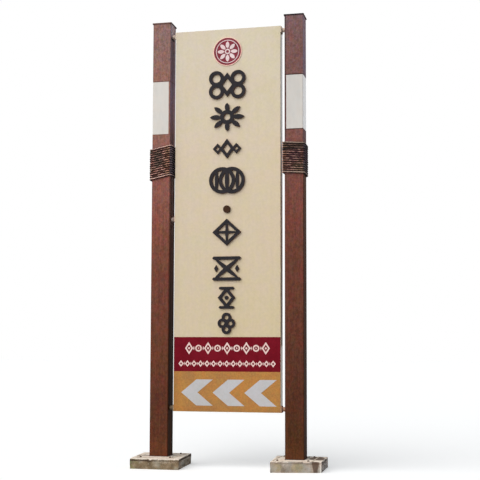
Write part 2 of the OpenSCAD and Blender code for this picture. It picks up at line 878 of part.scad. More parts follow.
at_post(-1) footing(pad_skew);  // left_footing
at_post(-1) base_plate();  // left_base_plate
at_post(-1) anchor_bolts();  // left_anchor_bolts
at_post(-1) anchor_nuts();  // left_anchor_nuts
at_post(-1) post_tube();  // left_post
at_post(-1) post_cap();  // left_post_cap
at_post(-1) cap_screws();  // left_cap_screws
at_post(-1) lamp_diffuser();  // left_lamp_diffuser
at_post(-1) diffuser_screws();  // left_diffuser_screws
at_post(-1) lamp_tray();  // left_lamp_tray
at_post(-1) lamp_holders();  // left_lamp_holders
at_post(-1) lamp_tube();  // left_lamp_tube
at_post(-1) lamp_gear();  // left_lamp_gear
at_post(-1) rope(left_rope_slope);  // left_rope
at_post(1) footing(-pad_skew);  // right_footing
at_post(1) base_plate();  // right_base_plate
at_post(1) anchor_bolts();  // right_anchor_bolts
at_post(1) anchor_nuts();  // right_anchor_nuts
at_post(1) post_tube();  // right_post
at_post(1) post_cap();  // right_post_cap
at_post(1) cap_screws();  // right_cap_screws
at_post(1) lamp_diffuser();  // right_lamp_diffuser
at_post(1) diffuser_screws();  // right_diffuser_screws
at_post(1) lamp_tray();  // right_lamp_tray
at_post(1) lamp_holders();  // right_lamp_holders
at_post(1) lamp_tube();  // right_lamp_tube
at_post(1) lamp_gear();  // right_lamp_gear
at_post(1) rope(-right_rope_slope);  // right_rope
panel_shell();
back_cover();
back_screws();
stile(-1);  // frame_left_stile
stile(1);  // frame_right_stile
rail(top_rail_z);  // frame_top_rail
rail((top_rail_z + middle_rail_z) / 2);  // frame_upper_rail
rail(middle_rail_z);  // frame_middle_rail
rail((bottom_rail_z + middle_rail_z) / 2);  // frame_lower_rail
rail(bottom_rail_z);  // frame_bottom_rail
band(dark_red, ochre_top, red_top);  // red_band
band(ochre, band_foot, ochre_top);  // ochre_band
arrows();
medallion_ring();
medallion_disc();
medallion_rosette();
ornament(1);  // ornament_1
ornament(2);  // ornament_2
ornament(3);  // ornament_3
ornament(4);  // ornament_4
ornament(5);  // ornament_dot
ornament(6);  // ornament_5
ornament(7);  // ornament_6
ornament(8);  // ornament_7
ornament(9);  // ornament_8
bracket(-1, high_bracket_z);  // bracket_left_upper
bracket(-1, mid_bracket_z);  // bracket_left_middle
bracket(-1, low_bracket_z);  // bracket_left_lower
bracket(1, high_bracket_z);  // bracket_right_upper
bracket(1, low_bracket_z);  // bracket_right_lower
bracket_bolts();
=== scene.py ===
"""Looks of the free-standing pylon sign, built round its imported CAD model. Metres, +Z up, front -Y."""

import json
import math
import random

import bpy
import numpy as np
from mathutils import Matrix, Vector, noise


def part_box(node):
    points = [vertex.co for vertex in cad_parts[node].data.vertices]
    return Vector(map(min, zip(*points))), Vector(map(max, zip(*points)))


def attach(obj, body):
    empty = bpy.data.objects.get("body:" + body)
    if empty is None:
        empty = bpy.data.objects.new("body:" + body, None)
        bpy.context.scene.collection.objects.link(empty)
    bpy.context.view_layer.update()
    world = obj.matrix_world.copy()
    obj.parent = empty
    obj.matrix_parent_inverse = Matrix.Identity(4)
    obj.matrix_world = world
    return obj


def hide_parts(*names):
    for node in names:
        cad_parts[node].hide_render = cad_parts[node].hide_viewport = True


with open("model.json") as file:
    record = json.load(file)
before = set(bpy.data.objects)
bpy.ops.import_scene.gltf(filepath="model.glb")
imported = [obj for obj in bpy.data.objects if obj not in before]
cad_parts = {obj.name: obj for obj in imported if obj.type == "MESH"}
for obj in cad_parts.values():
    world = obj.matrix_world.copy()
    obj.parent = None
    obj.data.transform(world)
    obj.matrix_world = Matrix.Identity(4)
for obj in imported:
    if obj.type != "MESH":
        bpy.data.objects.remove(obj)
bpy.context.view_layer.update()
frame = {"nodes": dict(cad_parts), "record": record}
NODES = frame["nodes"]
SIDES = {"left": -1, "right": 1}
POST_X, POST_HALF = 0.73, 0.1
random.seed(7)


def add_object(name, data):
    """A new object in the scene."""
    thing = bpy.data.objects.new(name, data)
    bpy.context.scene.collection.objects.link(thing)
    return thing


# ---- camera

CAMERA_PLACE = (2.5697, -10.7175, 1.2691)
CAMERA_TURN = (90 + 4.79, -0.14, 12.82)
SENSOR_MM, FOCAL_MM, SHIFT = 36, 77.64, 0.0417


def add_camera():
    """Camera at the photograph's place, a person's height above the ground."""
    lens = bpy.data.cameras.new("camera")
    lens.sensor_width, lens.lens, lens.shift_y = SENSOR_MM, FOCAL_MM, SHIFT
    camera = add_object("camera", lens)
    camera.location = CAMERA_PLACE
    camera.rotation_euler = [math.radians(angle) for angle in CAMERA_TURN]
    bpy.context.scene.camera = camera


add_camera()


# ---- node helpers

def srgb(r, g, b):
    """Linear colour of an 8-bit sRGB one."""
    def linear(c):
        c /= 255
        return c / 12.92 if c <= 0.04045 else ((c + 0.055) / 1.055) ** 2.4
    return (linear(r), linear(g), linear(b), 1)


class Graph:
    """A node tree and short calls that add nodes to it and return their output sockets."""

    def __init__(self, owner):
        owner.use_nodes = True
        self.tree = owner.node_tree

    def node(self, kind, out=0, inputs=(), **props):
        n = self.tree.nodes.new("ShaderNode" + kind)
        for key, value in props.items():
            setattr(n, key, value)
        for key, value in dict(inputs).items():
            self.put(value, n.inputs[key])
        return n.outputs[out] if n.outputs else None

    def put(self, value, socket):
        if isinstance(value, bpy.types.NodeSocket):
            self.tree.links.new(value, socket)
        else:
            socket.default_value = value

    def math(self, operation, a, b=0.0):
        return self.node("Math", operation=operation, inputs={0: a, 1: b})

    def both(self, mask, *more):
        """The product of all the masks."""
        return self.both(self.math("MULTIPLY", mask, more[0]), *more[1:]) if more else mask

    def either(self, a, b):
        return self.math("MAXIMUM", a, b)

    def mix(self, factor, a, b, blend="MIX"):
        return self.node("Mix", out=2, data_type="RGBA", blend_type=blend,
                         inputs={0: factor, 6: a, 7: b})

    def seen_directly(self):
        """1 for camera, glossy and transmission rays, otherwise 0."""
        ray = self.node("LightPath").node.outputs
        seen = self.either(ray["Is Camera Ray"], ray["Is Glossy Ray"])
        return self.either(seen, ray["Is Transmission Ray"])


class Finish(Graph):
    """A material and the calls that make its looks."""

    def __init__(self, name, rough=0.5, specular=0.25, **sockets):
        self.mat = bpy.data.materials.new(name)
        super().__init__(self.mat)
        self.bsdf = self.tree.nodes["Principled BSDF"]
        sockets.update(Roughness=rough, Specular_IOR_Level=specular)
        for key, value in sockets.items():
            self.bsdf.inputs[key.replace("_", " ")].default_value = value

    def place(self, scale=(1, 1, 1)):
        """Object coordinates, stretched by scale."""
        spot = self.node("TexCoord", out="Object")
        return self.node("Mapping", inputs={"Vector": spot, "Scale": scale})

    def attribute(self, name):
        return self.node("Attribute", out="Fac", attribute_name=name)

    def axis(self, name):
        """One of the object coordinates X, Y, Z."""
        spot = self.node("TexCoord", out="Object")
        return self.node("SeparateXYZ", out=name, inputs={"Vector": spot})

    def normal(self, name):
        """One component of the true surface normal in the row frame."""
        spot = self.node("NewGeometry", out="True Normal")
        return self.node("SeparateXYZ", out=name, inputs={"Vector": spot})

    def right(self):
        """1 on the right-hand side of the sign, 0 on the left-hand side."""
        return self.band(self.axis("X"), -0.3, 0.3)

    def noise(self, scale, stretch=(1, 1, 1), detail=4, rough=0.55, twist=0.0):
        """Fractal noise; a stretch below 1 draws it out along that axis."""
        return self.node("TexNoise", inputs={
            "Vector": self.place(stretch), "Scale": scale, "Detail": detail, "Roughness": rough,
            "Distortion": twist})

    def band(self, value, low, high, start=0.0, end=1.0, curve="SMOOTHSTEP"):
        """value between low and high, mapped to start to end and clamped."""
        return self.node("MapRange", interpolation_type=curve, inputs={
            "Value": value, "From Min": low, "From Max": high, "To Min": start, "To Max": end})

    def line(self, value, low, high, start=0.0, end=1.0):
        return self.band(value, low, high, start, end, "LINEAR")

    def other(self, value):
        """1 where value is 0 and 0 where it is 1."""
        return self.line(value, 0, 1, 1, 0)

    def ramp(self, value, *rows, linear=srgb):
        """Colour ramp through rows of a position and an 8-bit colour."""
        socket = self.node("ValToRGB", inputs={"Fac": value})
        elements = socket.node.color_ramp.elements
        for row in rows[2:]:
            elements.new(row[0])
        for element, row in zip(elements, rows):
            element.position = row[0]
        for element, row in zip(elements, rows):
            element.color = linear(*row[1:])
        return socket

    def stain(self, colour, rgb, strength, *masks):
        """colour with an 8-bit colour laid over it as strongly as the masks and strength say."""
        return self.mix(self.both(*masks, strength), colour, srgb(*rgb))

    def shade(self, colour, low, high, *masks):
        """colour times a grey from low to high as the masks go from 0 to 1."""
        grey = self.ramp(self.both(*masks), (0, low), (1, high), linear=lambda v: (v, v, v, 1))
        return self.mix(1.0, colour, grey, "MULTIPLY")

    def tint(self, colour, low, high, *masks):
        """colour times a colour from low to high as the masks go from 0 to 1."""
        ends = [end if isinstance(end, bpy.types.NodeSocket) else (*end, 1) for end in (low, high)]
        return self.mix(1.0, colour, self.mix(self.both(*masks), *ends), "MULTIPLY")

    def gain(self, colour, high, *masks):
        """colour times high where the masks are 1, and colour where one is 0."""
        return self.tint(colour, (1, 1, 1), high, *masks)

    def off(self, value, centre):
        """How far value is from centre."""
        return self.math("ABSOLUTE", self.math("SUBTRACT", value, centre))

    def near(self, value, centre, reach, edge):
        """1 where value is within reach of centre, 0 from reach + edge on."""
        return self.band(self.off(value, centre), reach + edge, reach)

    def spot(self, a, b, centre, reach):
        """1 inside an ellipse round centre in the values a and b, fading to 0 at its edge."""
        da = self.math("DIVIDE", self.math("SUBTRACT", a, centre[0]), reach[0])
        db = self.math("DIVIDE", self.math("SUBTRACT", b, centre[1]), reach[1])
        return self.band(self.math("ADD", self.both(da, da), self.both(db, db)), 1.0, 0.35)

    def bump(self, height, strength, distance):
        skin = self.node("Bump", inputs={"Height": height, "Strength": strength, "Distance": distance})
        self.put(skin, self.bsdf.inputs["Normal"])

    def finish(self, colour, rough=None):
        self.put(colour, self.bsdf.inputs["Base Color"])
        if rough is not None:
            self.put(rough, self.bsdf.inputs["Roughness"])
        return self.mat


# ---- materials

POST_SPAN = (0.1, 4.8)
WINDOW_FOOT, WINDOW_HEAD = 3.561, 4.149
PANEL_SPAN = (1.3, 4.7)


def film_finish():
    """Wood-grain film: red-brown at the foot, paler and rosier to the top, with painted shade and light
    on the sides.
    """
    f = Finish("post_film", specular=0.02)
    x, y, z, right = f.axis("X"), f.axis("Y"), f.axis("Z"), f.right()
    height = f.line(z, *POST_SPAN)
    front_left = f.ramp(
        height, (0.0, 106, 59, 38), (0.05, 92, 54, 38), (0.13, 94, 54, 41), (0.23, 103, 62, 45),
        (0.35, 111, 67, 54), (0.47, 122, 75, 61), (0.57, 136, 87, 75), (0.72, 144, 103, 93),
        (0.87, 149, 110, 101), (0.94, 142, 114, 108), (1.0, 145, 113, 108))
    front_right = f.ramp(
        height, (0.0, 91, 54, 32), (0.05, 79, 49, 31), (0.13, 86, 50, 36), (0.23, 92, 54, 42),
        (0.35, 103, 61, 48), (0.47, 108, 66, 54), (0.57, 119, 72, 62), (0.72, 127, 87, 81),
        (0.87, 121, 89, 86), (0.94, 125, 94, 91), (1.0, 126, 101, 104))
    # Painted shade for the faces turned +X, away from the key light, with painted sky light towards
    # their tops.
    shaded = f.ramp(
        height, (0.19, 54, 27, 8), (0.47, 76, 43, 29), (0.585, 98, 65, 54), (0.66, 121, 88, 82),
        (0.735, 150, 117, 120), (0.915, 158, 138, 156), (1.0, 178, 152, 162))
    left, front = f.other(right), f.mix(right, front_left, front_right)
    # The right post's outer side: painted darker, with painted light near its top and less blue lower
    # down.
    shaded = f.shade(shaded, 1.0, 0.88, right)
    shaded = f.shade(shaded, 1.0, 1.3, right, f.band(z, 4.0, 4.3))
    shaded = f.gain(shaded, (0.98, 0.9, 0.62), right, f.band(z, 3.6, 2.8))
    # Painted light lifting the left post's inner side at two heights.
    inner_light = f.either(f.near(z, 2.4, 0.4, 0.4), f.near(z, 3.9, 0.1, 0.3))
    shaded = f.gain(shaded, (1.3, 1.4, 1.6), inner_light, left)
    # Faces turned +X take the painted shade instead of the front colour.
    away = f.band(f.normal("X"), 0.5, 0.9)
    colour = f.mix(away, front, shaded)

    grain = f.noise(6, (15, 15, 0.3), 8, 0.6, twist=0.8)
    pores = f.noise(60, (14, 14, 0.25), 3)
    tone = f.math("ADD", f.both(grain, 0.7), f.both(pores, 0.3))
    colour = f.shade(colour, 0.84, 1.1, f.band(tone, 0.34, 0.66))
    red = f.noise(4, (4, 4, 0.5), 5, 0.65)
    colour = f.gain(colour, (1.28, 0.85, 0.79), f.band(red, 0.48, 0.7, 0, 0.32))
    dull = f.noise(30, (1, 1, 0.8), rough=0.7)
    colour = f.gain(colour, (0.82, 1.1, 1.6), f.band(dull, 0.5, 0.68, 0, 0.28))
    olive = f.noise(22, (1.1, 1.1, 0.8), 5, 0.75)
    colour = f.tint(colour, (1.09, 0.955, 0.93), (0.93, 1.04, 1.01), f.band(olive, 0.36, 0.64))
    mauve = f.noise(34, rough=0.75, twist=0.3)
    colour = f.tint(colour, (0.985, 0.97, 1.12), (1.015, 1.02, 0.87), f.band(mauve, 0.38, 0.62))

    high = f.band(z, 2.8, 3.8)
    low = f.other(high)
    fleck = f.both(f.noise(46, (1, 1, 0.8), 3, 0.8), f.line(high, 0, 1, 0.6, 1))
    streak = f.both(f.noise(46, (1, 1, 0.16), rough=0.8), f.line(low, 0, 1, 0, 0.4))
    dark_end, light_end = f.line(low, 0, 1, 0.36, 0.4), f.line(low, 0, 1, 0.64, 0.6)
    colour = f.shade(colour, 0.79, 1.17, f.band(f.math("ADD", fleck, streak), dark_end, light_end))
    blotch = f.noise(14, (1, 1, 0.5), rough=0.65)
    colour = f.gain(colour, (1.09, 0.93, 1.02), f.band(blotch, 0.52, 0.66), low)
    colour = f.gain(colour, (0.92, 1.05, 0.98), f.band(blotch, 0.48, 0.34), low)
    rose = f.noise(9, (1.2, 1.2, 0.7), 5, 0.75)
    colour = f.gain(colour, (1.05, 0.95, 0.93), f.band(rose, 0.4, 0.6), high)
    speck = f.noise(58, (1, 1, 0.8), 2, 0.8)
    colour = f.shade(colour, 1.03, 0.86, f.band(speck, 0.48, 0.66), high)

    seam = f.near(y, 0.062, 0.0004, 0.001)
    sides = f.band(f.math("ABSOLUTE", f.normal("X")), 0.8, 0.95)
    colour = f.stain(colour, (52, 32, 26), 0.7, seam, sides)
    # Painted shade along the right post's inner edge and the left post's outer edge, in their upper
    # parts.
    corner = f.near(x, POST_X - POST_HALF, 0.01, 0.008)
    colour = f.shade(colour, 1.0, 0.42, corner, f.band(z, 2.9, 3.5))
    colour = f.shade(colour, 1.0, 0.78, f.near(x, -POST_X - POST_HALF, 0.006, 0.012),
                     f.band(z, 2.4, 3.0))

    # Painted light and shade on the left post's inner face, in the gap by the panel.
    inside = f.both(away, left)
    inside_low, inside_high = f.both(inside, low), f.both(inside, high)
    colour = f.gain(colour, (1.9, 1.75, 1.8), inside_low, f.band(y, -0.045, -0.09))
    colour = f.gain(colour, (1.5, 1.8, 2.0), inside_low, f.near(y, 0.01, 0.014, 0.014))
    colour = f.gain(colour, (1.35, 1.4, 1.25), inside_high, f.near(y, 0.05, 0.02, 0.03))
    colour = f.shade(colour, 1.0, 0.75, inside_high, f.band(y, -0.05, -0.09))
    # Painted highlight just under the cap.
    pale = f.both(inside, f.band(z, 4.64, 4.68), f.near(y, -0.03, 0.05, 0.02))
    colour = f.gain(colour, (1.8, 2.1, 2.0), pale)
    # Painted shadow under the upper bracket.
    colour = f.stain(colour, (30, 14, 18), 0.9, inside, f.spot(y, z, (-0.015, 4.634), (0.08, 0.022)))
    # Painted shade, darker and less blue low down.
    colour = f.gain(colour, (0.75, 0.75, 0.42), inside, f.band(z, 1.7, 0.9))
    # Painted shade on the rear of the inner face, high up.
    colour = f.shade(colour, 1.0, 0.45, inside, f.band(y, 0.03, 0.05), f.band(z, 3.4, 3.1))

    foot = f.band(f.math("ADD", z, f.both(dull, 0.12)), 0.32, 0.16)
    colour = f.stain(colour, (74, 48, 34), 0.35, foot)
    # Painted shadow lines at the window heads and sills and at the post's foot.
    head_shadow = f.both(f.near(z, WINDOW_HEAD, 0.003, 0.003), f.line(right, 0, 1, 0.5, 0.9))
    sill_shadow = f.both(f.near(z, WINDOW_FOOT, 0.003, 0.003), f.line(right, 0, 1, 0.2, 0.8))
    rim = f.either(f.either(head_shadow, sill_shadow), f.both(f.band(z, 0.122, 0.106), 0.8))
    colour = f.mix(rim, colour, srgb(38, 22, 20))
    f.bump(pores, 0.25, 0.0006)
    return f.finish(colour, f.band(tone, 0.3, 0.7, 0.55, 0.68))


def panel_finish():
    """Beige satin paint, faintly cloudy, dirty along the folds, with a glossy right-hand return."""
    f = Finish("panel_paint")
    x, z = f.axis("X"), f.axis("Z")
    base = f.ramp(f.line(z, *PANEL_SPAN), (0.1, 208, 191, 159), (0.3, 211, 194, 166),
                  (0.64, 214, 198, 173), (0.9, 214, 202, 179))
    cloud = f.noise(1.6, (1, 1, 0.7), 5, 0.65)
    colour = f.mix(f.band(cloud, 0.38, 0.7, 0, 0.4), base, srgb(214, 196, 174))
    colour = f.mix(f.band(f.noise(3.1), 0.52, 0.75, 0, 0.35), colour, srgb(206, 194, 162))
    colour = f.shade(colour, 0.96, 1.015, f.band(f.noise(38, rough=0.7), 0.34, 0.66))
    hue = f.band(f.noise(12, detail=5, rough=0.75), 0.36, 0.64)
    colour = f.tint(colour, (1.005, 0.995, 1.05), (1, 1.002, 0.94), hue)
    blush = f.band(f.noise(5, detail=5, rough=0.7), 0.38, 0.62)
    colour = f.tint(colour, (1.008, 0.995, 1), (0.993, 1.004, 1), blush)
    colour = f.gain(colour, (1, 0.995, 0.972), f.band(x, -0.2, 0.55))
    streak = f.noise(6, (5, 5, 0.25), 5)
    colour = f.shade(colour, 0.985, 1.0, f.band(streak, 0.36, 0.55))
    edge = f.band(f.math("ABSOLUTE", x), 0.572, 0.58)
    grime = f.band(f.noise(30, (1, 1, 0.3), 5), 0.4, 0.65)
    colour = f.stain(colour, (150, 132, 104), 0.45, edge, grime)
    side, low = f.band(f.normal("X"), 0.6, 0.9), f.band(z, 1.3, 1.24)
    # Painted light: the right-hand return is tinted warmer and less blue from z 3.4 down, most at its
    # foot.
    colour = f.gain(colour, (1.04, 0.96, 0.75), side, f.band(z, 3.4, 2.8))
    colour = f.gain(colour, (1.1, 0.8, 0.55), side, low)
    clean = f.both(f.either(f.line(z, 2.8, 3.85), f.both(low, 0.78)), side)
    f.bump(f.noise(420, detail=2), 0.05, 0.0004)
    rough = f.band(cloud, 0.3, 0.7, 0.45, 0.54)
    return f.finish(colour, f.math("SUBTRACT", rough, f.both(clean, 0.36)))


def paint_skin(f, cloud, low, high):
    """An orange-peel skin; returns the roughness, low to high with the cloud."""
    f.bump(f.noise(380, detail=2), 0.06, 0.0004)
    return f.band(cloud, 0.3, 0.7, low, high)


def paint_finish(name, tone, second, rough=0.45, depth=0.3, specular=0.25, lighter_up=None):
    """Paint in two close tones with fine flecks and dust; where heights are given, lighter upward
    between them and darker towards the left end.
    """
    f = Finish(name, rough, specular)
    cloud = f.noise(5, detail=6, rough=0.65)
    colour = f.mix(f.band(cloud, 0.4, 0.66), srgb(*tone), srgb(*second))
    flecks = f.band(f.noise(60, detail=3), 0.3, 0.7)
    colour = f.shade(colour, 1 - depth * 0.3, 1 + depth * 0.12, flecks)
    dust, by, far = f.band(f.noise(24, rough=0.75), 0.36, 0.64), depth * 0.08, depth * 0.1
    colour = f.tint(colour, (1 + by, 1 - by, 1 - far), (1 - by, 1 + by, 1 + far), dust)
    if lighter_up:
        colour = f.tint(colour, (0.9, 0.9, 0.82), (1.12, 1.12, 1.08), f.band(f.axis("Z"), *lighter_up))
        colour = f.shade(colour, 0.87, 1.0, f.band(f.axis("X"), -0.58, -0.48))
        dirt = f.band(f.noise(9, detail=5, rough=0.65), 0.38, 0.62)
        colour = f.tint(colour, (1.03, 0.99, 0.95), (0.96, 1.0, 1.04), dirt)
    return f.finish(colour, paint_skin(f, cloud, rough - 0.04, rough + 0.06))


def bracket_finish():
    """Cream paint on the brackets, browner at mid-height and brownest near the ground."""
    f = Finish("bracket_paint", 0.6)
    z, cloud = f.axis("Z"), f.noise(5, detail=6, rough=0.65)
    colour = f.mix(f.band(cloud, 0.4, 0.66), srgb(244, 226, 208), srgb(226, 202, 184))
    colour = f.gain(colour, (0.7, 0.64, 0.66), f.band(z, 4.2, 3.0))
    low = f.mix(f.right(), (0.4, 0.37, 0.27, 1), (0.85, 0.61, 0.45, 1))
    colour = f.gain(colour, low, f.band(z, 2.2, 1.0))
    return f.finish(colour, paint_skin(f, cloud, 0.56, 0.66))


def cap_finish():
    """Near-black paint, brown on the left cap's front and the right cap's outer side."""
    f = Finish("cap_paint", specular=0.1)
    cloud, right = f.noise(7, detail=6, rough=0.65), f.right()
    black = f.mix(f.band(cloud, 0.4, 0.66), srgb(24, 17, 20), srgb(36, 26, 28))
    brown = f.mix(f.band(cloud, 0.4, 0.66), srgb(132, 98, 88), srgb(112, 80, 72))
    front, side = f.band(f.normal("Y"), -0.5, -0.8), f.band(f.normal("X"), 0.5, 0.8)
    # The left cap's front and the right cap's outer side take the brown.
    worn = f.either(f.both(front, f.other(right)), f.both(side, right))
    return f.finish(f.mix(f.both(worn, 0.9), black, brown), paint_skin(f, cloud, 0.56, 0.66))


def ornament_finish():
    """Black faces with cut edges that show brown."""
    f = Finish("ornament_black", specular=0.12)
    cloud = f.noise(14, detail=5)
    face = f.mix(f.band(cloud, 0.35, 0.65), srgb(27, 25, 29), srgb(40, 36, 40))
    edge = f.mix(f.band(cloud, 0.4, 0.6), srgb(92, 56, 38), srgb(122, 80, 54))
    front = f.band(f.normal("Y"), -0.9, -0.55)
    f.bump(f.noise(500, detail=2), 0.1, 0.0003)
    return f.finish(f.mix(front, face, edge), f.band(cloud, 0.3, 0.7, 0.5, 0.62))


def opal_finish():
    """Opal sheet, clouded by weather, passing some light on in its subsurface, with a faint painted glow
    and painted light on its +X side.
    """
    # The faint emission is a painted glow.
    f = Finish("opal", 0.42, 0.3, Subsurface_Weight=0.3, Subsurface_Radius=(0.03, 0.03, 0.03),
               Emission_Color=(0.92, 0.95, 1, 1), Emission_Strength=0.12)
    haze = f.noise(2.2, (2, 2, 0.6), 5)
    colour = f.mix(f.band(haze, 0.35, 0.65), srgb(198, 191, 182), srgb(189, 184, 177))
    colour = f.shade(colour, 0.95, 1.0, f.band(f.noise(30, (1, 1, 0.25)), 0.3, 0.6))
    colour = f.shade(colour, 1.0, 0.92, f.right())
    hue = f.band(f.noise(10, rough=0.7), 0.38, 0.62)
    colour = f.tint(colour, (1.012, 0.996, 0.985), (0.99, 1.004, 1.015), hue)
    # Painted light on the +X side: lighter and bluer.
    side = f.band(f.normal("X"), 0.6, 0.9)
    colour = f.gain(colour, (1.19, 1.19, 1.27), side)
    rough = f.band(haze, 0.3, 0.7, 0.38, 0.48)
    return f.finish(colour, f.math("SUBTRACT", rough, f.both(side, 0.31)))


def rope_finish():
    """Weathered rope: olive and maroon stretches, painted shade in the grooves and on its +X sides, and
    broken rosy-tan painted highlights on crests, edges and end turns.
    """
    f = Finish("rope", 0.9, 0.08, Sheen_Weight=0.1, Sheen_Roughness=0.6)
    crown, end_turns, rise = f.attribute("crown"), f.attribute("end_turns"), f.attribute("rise")
    x, z, right = f.axis("X"), f.axis("Z"), f.right()
    left = f.other(right)
    across = f.math("SUBTRACT", x, f.both(f.math("SIGN", x), POST_X))
    patch = f.noise(9, (1, 1, 1.6), 5, 0.7)
    tan = f.noise(15, (1, 1, 2), 3)
    dash = f.noise(25, (0.75, 0.75, 2.4), 3, 0.6)
    colour = f.ramp(patch, (0.34, 66, 38, 36), (0.5, 98, 56, 48), (0.64, 78, 60, 42))
    green = f.both(left, f.spot(across, z, (-0.025, 3.29), (0.06, 0.12)))
    wine = f.both(right, f.spot(across, z, (0.015, 3.27), (0.07, 0.09)))
    band = f.both(right, f.band(z, 3.34, 3.352))
    low = f.both(right, f.spot(across, z, (0.06, 3.14), (0.09, 0.1)))
    for mask, strength, rgb in ((green, 0.7, (74, 68, 58)), (wine, 0.75, (84, 42, 56)),
                                (band, 0.85, (60, 48, 34)), (low, 0.75, (84, 70, 44))):
        colour = f.stain(colour, rgb, strength, mask)
    # Painted highlights in broken dashes along the strand crests, dimmed on the green patch, the dark
    # band and the +X sides.
    crest = f.near(rise, 0.08, 0.22, 0.36)
    high = f.ramp(tan, (0.34, 186, 124, 112), (0.5, 228, 176, 162), (0.66, 180, 146, 122))
    crest_highlight = f.both(crest, f.band(dash, 0.45, 0.56), f.line(right, 0, 1, 1.0, 0.72))
    panel_side = f.band(across, 0.1, 0.108)
    dimmed = f.either(f.either(green, band), panel_side)
    colour = f.mix(f.both(crest_highlight, f.line(dimmed, 0, 1, 1, 0.45)), colour, high)
    warm = f.either(f.both(left, f.band(across, 0.02, 0.07)),
                    f.both(right, f.band(across, -0.06, -0.1)))
    colour = f.gain(colour, (1.0, 0.95, 0.8), warm)
    # Painted sky light on the +X sides of both windings, and painted shade on the left winding's side by
    # the panel.
    colour = f.gain(colour, f.mix(right, (1.2, 1.5, 2.4, 1), (0.9, 1.15, 1.9, 1)), panel_side)
    side_shade = f.mix(f.band(f.normal("X"), 0.3, 0.8), srgb(62, 56, 66), srgb(116, 110, 128))
    colour = f.mix(f.both(panel_side, left, 0.6), colour, side_shade)
    # Painted highlight along the right winding's edge toward the panel.
    colour = f.stain(colour, (255, 200, 180), 0.85, right, f.band(across, -0.112, -0.122))
    # Painted highlight on the upper side of the first and last turns.
    lit = f.both(end_turns, f.near(rise, 0.3, 0.22, 0.3))
    colour = f.mix(lit, colour, f.mix(right, srgb(246, 206, 192), srgb(228, 198, 180)))
    # Painted shade in the grooves between the turns.
    groove_shade = f.band(f.math("ABSOLUTE", rise), 0.46, 0.76)
    colour = f.stain(colour, (20, 12, 13), 0.95, groove_shade)
    colour = f.stain(colour, (20, 14, 18), 0.8, right, f.near(z, 3.346, 0.004, 0.006))
    # Painted shade, darker away from the strand crowns.
    colour = f.shade(colour, 0.6, 1.0, f.band(crown, 0.1, 0.6))
    colour = f.shade(colour, 1.0, 0.78, right)
    yarn = f.math("SINE", f.both(f.attribute("lay"), 2 * math.pi))
    f.bump(f.math("ADD", f.both(yarn, 0.5), f.noise(700, detail=3)), 0.55, 0.0012)
    return f.finish(colour, 0.86)


SLAB_SPOTS = ((0.826, 0.2, 0.022), (0.836, 0.285, 0.022),
              (-0.561, -0.146, 0.013), (-0.57, 0.205, 0.015))


def slab_top(f, lump, stain):
    """Pale cement on the pads and their plates, painted light from above, with a painted shadow strip by
    the left post, a rusty patch and dark spots.
    """
    x, y, right = f.axis("X"), f.axis("Y"), f.right()
    top = f.ramp(lump, (0.3, 228, 207, 187), (0.5, 247, 231, 214), (0.7, 255, 247, 236))
    top = f.mix(f.band(stain, 0.54, 0.7, 0, 0.4), top, srgb(190, 160, 142))
    top = f.shade(top, 0.97, 1.08, right)
    # Painted shadow: a dark strip on the left pad's top beside the post's foot.
    wash = f.both(f.band(x, -0.53, -0.56), f.near(y, -0.03, 0.035, 0.025))
    top = f.stain(top, (88, 70, 60), 0.6, wash)
    ragged_x = f.math("ADD", x, f.both(lump, 0.05))
    rust = f.both(f.spot(ragged_x, y, (0.965, 0.09), (0.105, 0.19)), right)
    top = f.stain(top, (104, 80, 66), 0.9, rust)
    for cx, cy, r in SLAB_SPOTS:
        top = f.stain(top, (24, 16, 14), 0.95, f.spot(x, y, (cx, cy), (r, r * 3)))
    back = f.both(right, f.band(x, 0.8, 0.84), f.band(y, 0.292, 0.302))
    return f.mix(f.both(back, 0.4), top, srgb(104, 84, 78))


def plate_finish():
    """Steel foot plate in the same pale colour and marks as the pad that it lies in, painted light and
    shadow included.
    """
    f = Finish("galvanised", 0.85, 0.12)
    lump = f.noise(9, detail=8, rough=0.65)
    colour = slab_top(f, lump, f.noise(6, (2.2, 2.2, 0.7), 6, 0.7))
    grit = f.noise(110, rough=0.7)
    colour = f.shade(colour, 0.88, 1.02, f.band(grit, 0.35, 0.62))
    f.bump(grit, 0.3, 0.0008)
    return f.finish(colour, f.band(lump, 0.3, 0.7, 0.8, 0.9))


